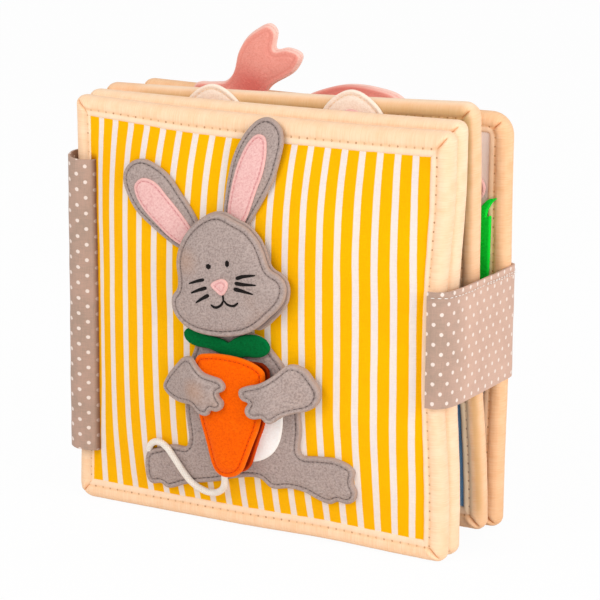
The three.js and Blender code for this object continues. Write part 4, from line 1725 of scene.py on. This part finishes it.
        nose = smooth_outline([
            (86.2, 120.7), (89.5, 123.4), (93, 124.2), (95.2, 122.6), (95, 119.8), (92.2, 116.4), (89, 118),
        ])
        cut = FeltCut(
            "rabbit_nose_felt", nose, 1.0, on_head(0.0), self.cover, flat_seat(21.0),
            stitch_in=1.7, groove=0.45, density=0.9, rounding=0.6,
        )
        cut.build("pink_felt", "front_cover", ["rabbit_nose"])
        cut.line = drawn_in(cut.outline, 1.7, 1.3)
        stitches = Piece("rabbit_nose_stitches")
        stitches.sew_line(cut.front(cut.line, 0.02), FORWARD, 1.0, 0.35, 0.15)
        self.cover.bench.lay(stitches, ("pink_thread",), "front_cover")
        strokes: tuple[tuple[Points, float, float], ...] = (
            (((98.9, 124.9), (102.5, 126.4), (109.4, 127.8)), 1.05, 0.4),
            (((98.3, 122.8), (103, 122.7), (109.9, 123.2)), 1.1, 0.35),
            (((97.8, 120.1), (101.6, 119.7), (108.4, 118.7)), 1.15, 0.4),
            (((82.3, 122.6), (78, 121.3), (73.6, 119.5)), 0.9, 0.45),
            (((83.6, 118.9), (79, 117.2), (74.8, 115.2)), 1.0, 0.45),
            (((84.8, 115.6), (81, 113.4), (77.4, 110.8)), 1.05, 0.4),
            (((92.2, 116.6), (92.3, 115.2), (92.5, 113.8)), 0.5, 0.55),
            (((92.6, 114.2), (91.4, 111.6), (89.2, 110.2), (87.6, 110.0), (85.6, 111.2)), 0.55, 0.65),
            (((92.4, 114.2), (94.2, 112.4), (96.4, 111.8), (98.4, 112.1), (100.4, 113.9)), 0.55, 0.6),
        )
        piece = Piece("rabbit_embroidery")
        for points, first, last in strokes:
            line = soften(evenly(np.asarray(points, float), 0.35, closed=False), 4)
            share = np.linspace(0, 1, len(line))
            radius = first + (last - first) * share
            radius = radius * np.sqrt(np.clip(1 - np.abs(2 * share - 1) ** 6, 0.0, 1)) + 1e-4
            slide = VIEW_SLIDE * (on_head(0.2)(line[:, 0], line[:, 1]) - self.face_drawn)[:, None]
            moved = line + slide
            depth = on_head(0.12)(line[:, 0], line[:, 1])
            path = self.cover.point(moved[:, 0], moved[:, 1], depth)
            piece.tube(path, radius, 8, 0.45)
        for x, z, wide, high in ((84.5, 129.0, 1.45, 1.4), (94.5, 131.5, 1.2, 1.75)):
            depth = on_head(0.0)(np.array([x]), np.array([z]))
            spot = np.array([(x, z)]) + VIEW_SLIDE * (depth[:, None] - self.face_drawn)
            at = self.cover.point(spot[:, 0], spot[:, 1], depth)[0]
            piece.stitch(at, SIDEWAYS, FORWARD, (wide, high, 0.6))
        self.cover.bench.lay(piece, ("black_thread",), "front_cover")

    def ears(self) -> None:
        """Cuts both ears with their pink insides."""
        ears: dict[str, tuple[Points, Points]] = {
            "left": (
                ((42.1, 173.7), (36.3, 172), (32.3, 167.4), (31.6, 162.4), (34.3, 155.3), (39.1, 148.3),
                 (47.7, 141.8), (55.3, 136.9), (62, 133.5), (70.5, 132.8), (75.2, 141.6), (71.9, 148.2),
                 (68.6, 153.1), (63, 159.9), (57.3, 166.7), (49.7, 171.6)),
                ((41.7, 164.4), (38.4, 160.8), (39.3, 155.9), (43.6, 149.8), (51.2, 143.2), (58.8, 137.5),
                 (65.4, 135), (69.6, 137.4), (71.4, 141.2), (68.7, 144.6), (63.6, 150.3), (56, 157.7),
                 (50.3, 162.9), (45.6, 164.7)),
            ),
            "right": (
                ((108.6, 199.7), (112.6, 198.9), (116.7, 194.9), (117.6, 188.7), (115.9, 180.6),
                 (112.8, 170.7), (108.4, 162.3), (103.8, 154.5), (100.7, 149.3), (96.5, 145), (90, 145.4),
                 (86.8, 152.7), (87.3, 160), (88.6, 168.2), (90.9, 178.1), (94.5, 186.5), (99.1, 193.3),
                 (104.5, 198.2)),
                ((105.6, 191.7), (108.7, 190.4), (109.4, 183.3), (107.9, 174.4), (104.4, 165.2),
                 (98.9, 150.9), (96, 147.4), (91, 148.2), (89.3, 152.3), (90.2, 160.5), (92.4, 170.4),
                 (95.2, 178.7), (99.7, 187.1), (103.3, 190.9)),
            ),
        }
        roots = {
            "left": ((72.0, -12.0, 141.4), (61.0, -12.0, 147.3)),
            "right": ((94.6, -12.0, 151.2), (97.7, -12.0, 162.0)),
        }
        for side, (outer, inner) in ears.items():
            seat = self.over_dome(0.3, 0.7, 12.4)
            cut = FeltCut(
                f"rabbit_{side}_ear_felt", smooth_outline(outer), 1.8, seat, self.cover, flat_seat(9.9),
                stitch_in=1.9, bend=roots[side],
            )
            cut.build("grey_felt", f"{side}_ear", [f"rabbit_{side}_ear"])
            cut.sew("grey_thread", f"{side}_ear")
            above = self.over_dome(2.15, 0.7, 12.4)
            lining = FeltCut(
                f"rabbit_{side}_inner_ear_felt", smooth_outline(inner), 0.9, above, self.cover,
                flat_seat(10.9), stitch_in=1.4, groove=0.3, bend=roots[side],
            )
            lining.build("pink_felt", f"{side}_ear", [f"rabbit_{side}_inner_ear"])
            lining.sew("pink_thread", f"{side}_ear", 0.36)

    def arms(self) -> None:
        """Cuts both arms, two felts each, that lie over the carrot."""
        arms: dict[str, tuple[float, float, float, Points]] = {
            "left": (54.5, 1.0, 24.0, (
                (98.4, 75.9), (97.4, 73.3), (93.6, 71.2), (94.2, 69.8), (97, 67.9), (96.6, 64.9),
                (93.1, 62.5), (88.6, 62), (86.2, 59), (82.4, 58.4), (79.1, 59), (75.6, 61.2), (64.4, 60.7),
                (57.1, 62.4), (53.9, 65.4), (56.6, 71), (64.5, 79.4), (69.5, 83.4), (74.5, 83.9),
                (77.5, 81.4), (82.4, 78.7), (89.8, 78.5), (95.4, 78.2),
            )),
            "right": (137.0, -1.0, 26.0, (
                (138, 72.3), (137.4, 75.8), (134.6, 80.6), (131.5, 84.8), (126.7, 86.9), (123.7, 86.3),
                (119.5, 82.4), (115.3, 79.1), (111.1, 76.9), (107.4, 76.1), (104.7, 74.7), (104.3, 72.2),
                (105.7, 69.4), (108.3, 68.2), (107.2, 66), (107, 63.5), (108.7, 61.1), (111.1, 60.6),
                (113.9, 61), (115.4, 59.2), (117.8, 58.7), (120.2, 60.3), (122.6, 62.1), (128.1, 64),
                (132.9, 65.2), (136.2, 67.7),
            )),
        }
        for side, (hinge, way, tilt, drawn) in arms.items():
            self.arm(side, hinge, way, tilt, drawn)

    def arm(self, side: str, hinge: float, way: float, tilt: float, drawn: Points) -> None:
        """Cuts one arm.

        Args:
            side: Left or right, as it is seen.
            hinge: Where the arm is sewn on.
            way: 1 where it points right, -1 where it points left.
            tilt: How steeply its solid stands, in degrees.
            drawn: Its outline, as drawn for that solid's front.
        """
        slope = math.tan(math.radians(tilt))
        outline = smooth_outline(drawn)

        def solid(x: Array, z: Array) -> Array:
            """Depth of the solid's front."""
            return self.arm_solid + way * (x - hinge) * slope

        def seat(x: Array, z: Array) -> Array:
            """From the cover's swelling up over the carrot."""
            low = self.cover.dome(x, z) + 2.6
            return low + (self.arm_level - low) * ease(way * (x - hinge), 2.0, 24.0)

        for i, layer in enumerate(("back", "front")):
            cut = FeltCut(
                f"rabbit_{side}_arm_{layer}", outline, 1.6 if i else 1.2, raised(seat, 1.25 * i), self.cover,
                raised(solid, 1.25 * (i - 1)),
                stitch_in=2.1 if i else 0, groove=0.7, swell=0.5 * i, swell_run=8.0, turn=2.0 + i,
                bend=((hinge + way * 1.0, -16.0, 72.0), (hinge + way * 12.0, -16.0, 72.0)),
            )
            cut.build("grey_felt", f"{side}_arm", [f"rabbit_{side}_arm"] if i else [])
            if i:
                cut.sew("grey_thread", f"{side}_arm")

    def carrot(self) -> None:
        """Cuts the stuffed carrot and its leaves."""
        outline = smooth_outline([
            (76.3, 82.3), (78.3, 85.8), (83.1, 87.1), (90.3, 87.8), (101.4, 87.2), (109.2, 85.1),
            (113.3, 82.2), (113.8, 78.7), (113.6, 71), (111, 55.8), (107.5, 46.7), (104, 37.6),
            (102.4, 33.8), (99.6, 30.5), (96, 28.9), (92, 28.5), (88.8, 29.8), (86.4, 32.6), (82.3, 45.7),
            (79.1, 56), (77.3, 65.7), (76.5, 76.3),
        ])

        def seat(above: float) -> Depth:
            """The seat on the belly, the same from side to side."""
            above = above + self.carrot_seat
            return lambda x, z: self.cover.dome(np.full(np.shape(z), self.carrot_middle), z) + above

        lowered = np.stack([outline[:, 0], np.minimum(outline[:, 1], self.carrot_shoulder)], -1)
        # The back and the filling take the dark copy of the orange felt: painted shade in the hollow between
        # the carrot's felts.
        back = FeltCut(
            "carrot_back_felt", lowered + np.array((-0.1, 0.4)), 1.6, seat(0.0), self.cover,
            raised(seat(0.7), -4.2), stitch_in=0,
        )
        back.build("carrot_shaded_felt", "carrot", ["carrot_back"])
        middle = outline.mean(0)
        inside = middle + (lowered - middle) * 0.84
        core = FeltCut(
            "carrot_filling", inside, 2.6, seat(1.7), self.cover, raised(seat(2.9), -4.2), stitch_in=0
        )
        core.build("carrot_shaded_felt", "carrot", ["carrot_stuffing"])
        front = FeltCut(
            "carrot_front_felt", outline, 1.7, seat(4.6), self.cover, flat_seat(18.6),
            swell=1.5, swell_run=13.0, stitch_in=2.2, groove=0.7,
        )
        front.build("orange_felt", "carrot", ["carrot_front"])
        front.sew("orange_thread", "carrot")
        leaves = smooth_outline([
            (68.2, 94.6), (69.3, 91.5), (72.1, 89.6), (76.1, 88.8), (81.7, 88.6), (85.7, 87.6), (89.7, 86.6),
            (94.5, 86.2), (99.2, 86.5), (102.4, 87.4), (107.1, 87.6), (111.4, 88.9), (113.8, 91.2),
            (114.3, 93.5), (112.5, 96.3), (109, 97.9), (104.7, 98.2), (100, 97.3), (95.6, 95.4),
            (91.9, 92.8), (89.7, 93.7), (86.5, 94.4), (80.1, 95.4), (74.5, 97), (70.5, 97),
        ])
        green = FeltCut(
            "carrot_leaf_felt", leaves, 1.5, self.over_dome(3.7), self.cover, flat_seat(15.0), stitch_in=0
        )
        green.build("green_felt", "carrot", ["carrot_leaves"])

    def cord(self) -> None:
        """Lays the cord from the left foot to the carrot's tip, with the knot that holds it."""
        bench = self.cover.bench
        route = (
            (44.9, 9.3, 31.6, -0.6), (45.1, 9.4, 34.1, 0.0), (47.2, 9.8, 36.4, 0.2), (50.1, 10.5, 37.5, 0.7),
            (53.8, 11.5, 37.3, 1.6), (57.6, 12.2, 35.1, 2.5), (61.4, 12.5, 30.7, 2.6),
            (65.5, 12.5, 25.5, 2.6), (69.6, 12.4, 21.0, 2.5), (74.4, 12.3, 18.1, 1.4),
            (79.3, 12.3, 16.7, 0.6), (84.4, 12.6, 17.3, 0.5), (87.8, 12.8, 19.7, 1.4),
            (89.1, 13.0, 22.9, 2.7), (89.3, 13.4, 25.9, 3.4), (89.4, 13.5, 28.6, 4.2),
            (89.5, 13.5, 31.5, 4.8),
        )
        drawn = np.array(route)
        x, z = drawn[:, 0], drawn[:, 2]
        depth = self.cover.dome(x, z) + 1.7 + drawn[:, 3]
        slide = depth - drawn[:, 1]
        points = np.stack([x + VIEW_SLIDE[0] * slide, depth, z + VIEW_SLIDE[1] * slide], -1)
        count = len(points)
        fine = np.linspace(0, count - 1, 30 * (count - 1) + 1)
        line = np.stack([np.interp(fine, np.arange(count), points[:, i]) for i in range(3)], -1)
        line = evenly(soften(line, 120), 0.8, closed=False)
        path = self.cover.point(line[:, 0], line[:, 2], line[:, 1])
        piece = Piece("carrot_cord_braid")
        radius = np.full(len(path), 1.6)
        radius[0] = radius[-1] = 1e-3
        piece.tube(path, radius, 16)
        made = bench.lay(piece, ("cotton_cord",), None, ["carrot_cord"], slot="cotton_cord")
        loop = path[int(0.62 * len(path))]
        bench.frame(loop)
        bench.frame(loop + 1.2 * (path[-1] - loop))
        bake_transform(made)
        bench.frame(path[0])
        [bench.frame(p) for p in path]
        knot = Piece("cord_knot")
        at = path[1]
        for k in range(5):
            turn = k * math.pi / 5
            ahead = np.array((math.cos(turn), -0.15, math.sin(turn)))
            knot.stitch(at, ahead, FORWARD, (1.75, 0.55, 1.2))
        bench.lay(knot, ("white_thread",), "front_cover", ["cord_tack"])

    def build(self) -> None:
        """Builds every felt of the figure, whose cord is laid before the leaves."""
        for cut in (self.body, self.ears, self.head, self.carrot, self.arms):
            cut()


@dataclass
class PageFigures:
    """The felt figures on the inner pages: a round head on the third leaf, a sea animal on the back leaf."""

    third: Leaf
    back: Leaf
    seat: float = 5.6
    upper: float = 7.4
    head_oval: tuple[float, float, float, float] = (101, 138, 50, 44)

    def disc(self, x: float, z: float, wide: float, high: float, count: int = 40) -> Array:
        """A round outline."""
        turn = np.linspace(0, 2 * math.pi, count, endpoint=False)
        return np.stack([x + wide * np.cos(turn), z + high * np.sin(turn)], -1)

    def round_head(self) -> None:
        """The head, muzzle and ears on the third leaf."""
        leaf, body = self.third, "third_leaf"
        outline = self.disc(*self.head_oval)
        head = FeltCut("bear_head_felt", outline, 1.5, flat_seat(self.seat), leaf, density=3.0)
        head.build("cream_felt", body, ["bear_head"])
        head.sew("peach_thread", body)
        outline = self.disc(101, 123.3, 16.7, 11)
        muzzle = FeltCut("bear_muzzle_felt", outline, 0.8, flat_seat(self.upper), leaf, stitch_in=1.4)
        muzzle.build("white_felt", body, ["bear_muzzle"])
        across, up, wide, high = self.head_oval
        for side, way in (("left", -1.0), ("right", 1.0)):
            x, z = 100.2 + way * 37.3, 188.7 + way * 0.4
            ear = self.disc(x, z, 17.0, 15)
            lift = np.maximum(0, ear[:, 1] - z) / 15
            ear[:, 0] = x + (ear[:, 0] - x) * (1 - 0.28 * lift**2)
            inner = self.disc(x, z - 0.2, 7.2, 6.5, 28)
            for outline in (ear, inner):
                top = up + high * np.sqrt(np.maximum(0, 1 - ((outline[:, 0] - across) / wide) ** 2))
                outline[:, 1] = np.maximum(outline[:, 1], top + 0.6)
            cut = FeltCut(f"bear_{side}_ear_felt", ear, 1.5, flat_seat(self.seat), leaf, stitch_in=2.2)
            cut.build("cream_felt", body, [f"bear_{side}_ear"])
            cut.sew("peach_thread", body, 0.4)
            name = f"bear_{side}_inner_ear"
            pink = FeltCut(f"{name}_felt", inner, 0.8, flat_seat(self.upper), leaf, stitch_in=0)
            pink.build("pink_felt", body, [name])
        face = Piece("bear_face_stitches")
        for x, z, half in ((85.0, 145.0, 2.6), (117.0, 145.0, 2.6), (101.0, 127.5, 3.2)):
            at = leaf.point(np.array([x]), np.array([z]), np.array([8.25 if z < 140 else 7.1]))[0]
            face.stitch(at, SIDEWAYS, FORWARD, (half, half * 0.8, 0.5))
        leaf.bench.lay(face, ("black_thread",), body)

    def sea_animal(self) -> None:
        """The two felts of the sea animal, with its tail above the back leaf."""
        leaf, body = self.back, "back_leaf"
        points = (
            (28, -35), (30, -14), (33, 0.6), (43, 2.3), (50.6, 3.6), (55.0, 8.4), (57.8, 18.6), (61.8, 25.2),
            (67.6, 29.9), (74.6, 33.0), (78.6, 29.8), (78.0, 21.1), (85.2, 22.1), (92.4, 19.3), (88.8, 11.4),
            (75.2, 2.5), (72, -4), (86, -6), (97.4, 0.9), (106.2, 4.5), (118.5, 7.4), (132.8, 7),
            (146.1, 3.4), (155.5, -10), (157, -32), (146, -58), (116, -76), (78, -78), (44, -62),
        )
        outline = smooth_outline([(x, LEAF + z) for x, z in points])
        rear = FeltCut("whale_back_felt", outline, 2.0, flat_seat(self.seat), leaf, stitch_in=0, density=3.0)
        # The back felt takes a paler copy of the rose felt: a painted highlight on the rim that shows.
        rear.build("rose_lit_felt", body, ["whale_back"])
        middle = outline.mean(0)
        inner = middle + (outline - middle) * 0.975
        front = FeltCut(
            "whale_front_felt", inner, 1.8, flat_seat(7.8), leaf,
            stitch_in=2.6, density=3.0, swell=0.8, groove=0.22,
        )
        front.build("rose_felt", body, ["whale_front"])

    def meadow(self) -> None:
        """The grass tuft and the flower near the back leaf's fore-edge."""
        leaf, body = self.back, "back_leaf"
        blades = np.array([
            (-34, -81), (-7.5, -81), (-7.2, -69.3), (-7, -56.2), (-6.9, -47.8), (-9.4, -49), (-8.6, -45.5),
            (-6.6, -42), (-4, -39.4), (-8.6, -40.4), (-12.6, -44.6), (-15, -56), (-19, -62), (-24, -48),
            (-28, -64), (-33, -54),
        ]) + LEAF
        tuft = FeltCut("grass_tuft_felt", evenly(blades, 1.0), 1.5, flat_seat(self.seat), leaf, stitch_in=0)
        tuft.build("grass_felt", body, ["grass_tuft"])
        outline = self.disc(183, 164, 6.6, 6.6, 30)
        flower = FeltCut("flower_felt", outline, 1.5, flat_seat(5.3), leaf, stitch_in=1.6)
        flower.build("pink_felt", body, ["flower"])
        flower.sew("pink_thread", body, 0.36)

    def build(self) -> None:
        """Builds every figure."""
        self.round_head()
        self.sea_animal()
        self.meadow()


@dataclass
class Closing:
    """The spine band, the strap and their small fittings."""

    bench: Bench
    band_low: float = BAND_LOW
    band_high: float = BAND_HIGH
    band_thickness: float = 0.9
    strap_low: float = 74.2
    strap_high: float = 128.0
    strap_thickness: float = 1.1
    pads: dict[str, tuple[float, float]] = field(
        default_factory=lambda: {"loop_pad": (-6.4, -5.5), "hook_pad": (-7.4, -6.45)}
    )
    pad_span: tuple[float, float] = (192.3, 195.3)

    def band(self) -> None:
        """The spine band in three stretches, one for each hinge."""
        stretches = (
            ("spine_band_front", ("front_cover", "second_leaf"), (
                (12.6, -4.9), (12.9, -5.7), (12.2, -6.8), (10.7, -7.8), (7.8, -8.9), (4.5, -9.6),
                (1.6, -9.3), (-0.8, -7.7), (-2.0, -4.6), (-2.5, -1), (-2.8, 5), (-3, 11),
            ), (1.0, 10.0), ["front_cover_edging"]),
            ("spine_band_middle", ("second_leaf", "third_leaf"), (
                (-3.0, 11), (-3.0, 18), (-3.2, 26), (-3.0, 33.8),
            ), (11.5, 33.3), ["second_hinge_fold"]),
            ("spine_band_back", ("third_leaf", "back_leaf"), (
                (-3.0, 33.8), (-3.1, 44), (-3.4, 54), (-3.5, 61), (-2.6, 65), (-0.5, 66.4), (4, 66.6),
                (9, 66.3), (13.5, 66.0),
            ), (34.5, 56.0), ["back_leaf_edging"]),
        )
        offset = FLAP_START
        for i, (name, bodies, path, (start, end), rests) in enumerate(stretches):
            strip = Wrap(
                self.bench, name, path, self.band_low, self.band_high, self.band_thickness,
                slant=0.0 if i else 1.0, offset=offset, crosswise=True, rise=2.2,
                bulge=0.0 if i else FLAP_BULGE,
            )
            strip.build(bodies, ((-3, start, 100), (-3, end, 100)), ["spine_band"], rests)
            offset += strip.length

    def strap(self) -> None:
        """The strap in two stretches, and its stitched upper edge."""
        front = (
            (191.2, -8.6), (193.5, -8.7), (196.2, -8.1), (198.4, -6.7), (200.0, -4.4), (201.0, -1.0),
            (201.7, 4), (202.0, 11), (202.2, 20), (202.2, 28),
        )
        rear = (
            (202.2, 28), (202.2, 44), (202.1, 56), (202.0, 61.5), (201.0, 64.6), (198.5, 65.9), (193, 66.2),
            (186.0, 66.2),
        )
        span = (self.strap_low, self.strap_high, self.strap_thickness)
        side = Wrap(self.bench, "strap_front", front, *span, cloth="side_lit_cotton")
        bodies, bend = ("strap", "strap_tab"), ((202, 3, 100), (195, -8.8, 100))
        side.build(bodies, bend, ["strap_tab", "strap_side"], ["front_cover_edging"])
        rows = ((self.strap_high - 2.6, 0.3),)
        side.hem(bodies, bend, rows)
        end = Wrap(self.bench, "strap_back", rear, *span, offset=side.length, cloth="side_lit_cotton")
        bodies, bend = ("strap", "back_leaf"), ((202, 58, 100), (194, 66.2, 100))
        end.build(bodies, bend, ["strap_anchor"], ["back_leaf_edging"])
        end.hem(bodies, bend, (*rows, (self.strap_high - 3.6, 0.9)))

    def fittings(self) -> None:
        """The hook and loop patches and the folds that hold the middle leaves on the band."""
        for name, node, body in (
            ("loop_pad", "loop_patch", "front_cover"),
            ("hook_pad", "hook_patch", "strap_tab"),
            ("second_hinge_fold", "second_hinge_tape", "second_leaf"),
            ("third_hinge_fold", "third_hinge_tape", "third_leaf"),
        ):
            low, high = (self.bench.matrix.inverted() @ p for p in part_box(node))
            if name in self.pads:
                low.x, high.x = self.pad_span
                low.y, high.y = self.pads[name]
            piece = Piece(name)
            made = bmesh.ops.create_cube(piece.bm, size=1.0)["verts"]
            size = high - low
            bmesh.ops.scale(piece.bm, vec=size, verts=made)
            bmesh.ops.translate(piece.bm, vec=(low + high) / 2, verts=made)
            bmesh.ops.bevel(
                piece.bm, geom=piece.bm.edges[:], offset=min(size) * 0.3, segments=2, profile=0.5,
                affect="EDGES", material=-1,
            )
            finish = "tape" if name in self.pads else "dotted_cotton"
            self.bench.lay(piece, (finish,), body, [node])

    def build(self) -> None:
        """Builds the band, the strap and the fittings."""
        self.fittings()
        self.band()
        self.strap()


@dataclass
class Studio:
    """Camera, lights and the pale floor."""

    bench: Bench
    azimuth: float = 29.16
    elevation: float = 13.58
    roll: float = 0.53
    lens: float = 154.72
    distance: float = 1192.88
    target: tuple[float, float, float] = (121.70, 0.0, 113.78)
    room_light: float = 0.62
    key_power: float = 8.6
    fill_power: float = 10.5
    floor_tone: float = 0.92
    floor_glow: float = 0.96

    def camera(self) -> None:
        """Stands the camera where the photograph was taken from."""
        a, e, r = (math.radians(v) for v in (self.azimuth, self.elevation, self.roll))
        back = Vector((math.sin(a) * math.cos(e), -math.cos(a) * math.cos(e), math.sin(e)))
        right = Vector((math.cos(a), math.sin(a), 0.0))
        up = back.cross(right)
        right, up = right * math.cos(r) + up * math.sin(r), up * math.cos(r) - right * math.sin(r)
        data = bpy.data.cameras.new("camera")
        data.lens, data.sensor_width = self.lens, 36.0
        made = stand("camera", data)
        turn = Matrix((right, up, back)).transposed().to_4x4()
        spot = self.bench.frame(Vector(self.target) + back * self.distance)
        made.matrix_world = Matrix.Translation(spot) @ turn
        bpy.context.scene.camera = made

    def lamp(self, name: str, spot: Vector, aim: Vector, size: float, power: float) -> None:
        """Hangs one soft lamp.

        Args:
            name: Its name.
            spot: Where it hangs.
            aim: What it points at.
            size: Its width, in metres.
            power: Its power, in watts.
        """
        data = bpy.data.lights.new(name, "AREA")
        data.shape, data.size, data.energy = "DISK", size, power
        made = stand(name, data)
        made.location = spot
        made.rotation_euler = (aim - spot).to_track_quat("-Z", "Y").to_euler()

    def lights(self) -> None:
        """Hangs the lamps and lights the room."""
        aim = Vector((0.0, 0.0, 0.11))
        self.lamp("key", Vector((-0.45, -1.3, 1.1)), aim, 1.0, self.key_power)
        self.lamp("fill", Vector((1.35, -0.45, 0.6)), aim, 1.1, self.fill_power)
        world = bpy.data.worlds.new("room")
        bpy.context.scene.world = world
        world.use_nodes = True
        tree = world.node_tree
        tree.nodes.clear()
        path = tree.nodes.new("ShaderNodeLightPath")
        seen = tree.nodes.new("ShaderNodeMath")
        seen.operation = "MAXIMUM"
        tree.links.new(path.outputs["Is Camera Ray"], seen.inputs[0])
        tree.links.new(path.outputs["Is Glossy Ray"], seen.inputs[1])
        room, white = tree.nodes.new("ShaderNodeBackground"), tree.nodes.new("ShaderNodeBackground")
        for ground in (room, white):
            ground.inputs["Color"].default_value = WHITE
        room.inputs["Strength"].default_value = self.room_light
        blend, output = tree.nodes.new("ShaderNodeMixShader"), tree.nodes.new("ShaderNodeOutputWorld")
        tree.links.new(seen.outputs[0], blend.inputs[0])
        tree.links.new(room.outputs[0], blend.inputs[1])
        tree.links.new(white.outputs[0], blend.inputs[2])
        tree.links.new(blend.outputs[0], output.inputs["Surface"])

    def floor(self) -> None:
        """Lays the pale floor, which looks white and keeps the book's shadow."""
        bm = bmesh.new()
        bmesh.ops.create_circle(bm, cap_ends=True, segments=64, radius=6.0)
        bmesh.ops.translate(bm, vec=(0.0, 0.0, -0.0004), verts=bm.verts[:])
        mesh = bpy.data.meshes.new("floor")
        bm.to_mesh(mesh)
        bm.free()
        paint = Paint("pale_floor")
        lit = paint.node("ShaderNodeBsdfDiffuse", {}, {"Color": (*(self.floor_tone,) * 3, 1.0)})
        glow = paint.node("ShaderNodeEmission", {}, {"Color": WHITE, "Strength": 1.0})
        seen = paint.node("ShaderNodeLightPath", {}, {}, "Is Camera Ray")
        mixed = paint.node("ShaderNodeMixShader", {}, {0: seen * self.floor_glow, 1: lit, 2: glow})
        paint.node_output(mixed)
        mesh.materials.append(paint.material)
        made = stand("floor", mesh)

    def build(self) -> None:
        """Sets the scene."""
        self.camera()
        self.lights()
        self.floor()
        bpy.context.scene.view_settings.view_transform = "Standard"


def main() -> None:
    """Loads the frame and builds the book, piece by piece."""
    logging.basicConfig(level=logging.INFO, format="%(name)s %(message)s")
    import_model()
    bench = Bench(Finishes())
    Studio(bench).build()
    lean = math.asin(17 / LEAF)
    pressed = Crown(0.45, edge=4.2)
    page = Crown(0.9, edge=4.2)
    swollen = Crown(
        9.8, (55.0, 2.4), (81.0, 1.9), (61.0, 2.6), (116.0, 4.0), edge=4.5, starts=(8.6, 9.6, 11.2, 9.9)
    )
    rear = Crown(6.0, (60.0, 2.2), (60.0, 2.2), (60.0, 2.2), (60.0, 2.2), edge=4.4)
    cover = Cover(
        bench, "front_cover", 0.0, swollen, pressed, "striped_cotton", "lining",
        pull_top=1.5, pull_right=2.4, widths=(10.4, 10.0, 11.6, 9.2), trim=0.3, squeeze=1.6, slim=2.2,
    )
    second = Leaf(
        bench, "second_leaf", 11.0, pressed, page, "lining", "denim", turn=1.0, taller=(1.1, 3.2),
        tape="lit_second_binding", pull_right=1.4, trim=0.4, squeeze=1.6,
    )
    third = Leaf(
        bench, "third_leaf", 33.8, page, page, "denim", "lining", lean, 3.0, turn=2.0, taller=(-0.5, 6.9),
        widths=(11.4, 9.6, 9.4, 8.6), tape="shaded_binding", pull_right=0.9, trim=1.0, squeeze=0.9,
        radius=7.5,
    )
    back = Leaf(
        bench, "back_leaf", 59.3, page, rear, "lining", "striped_cotton", turn=3.0,
        tape="shaded_back_binding", pull_right=-0.6, radius=11.0,
    )
    rabbit = Rabbit(cover)
    rabbit.cord()
    for leaf in (cover, second, third, back):
        leaf.build()
    for part in (rabbit, PageFigures(third, back), Closing(bench)):
        part.build()


if __name__ == "__main__":
    main()
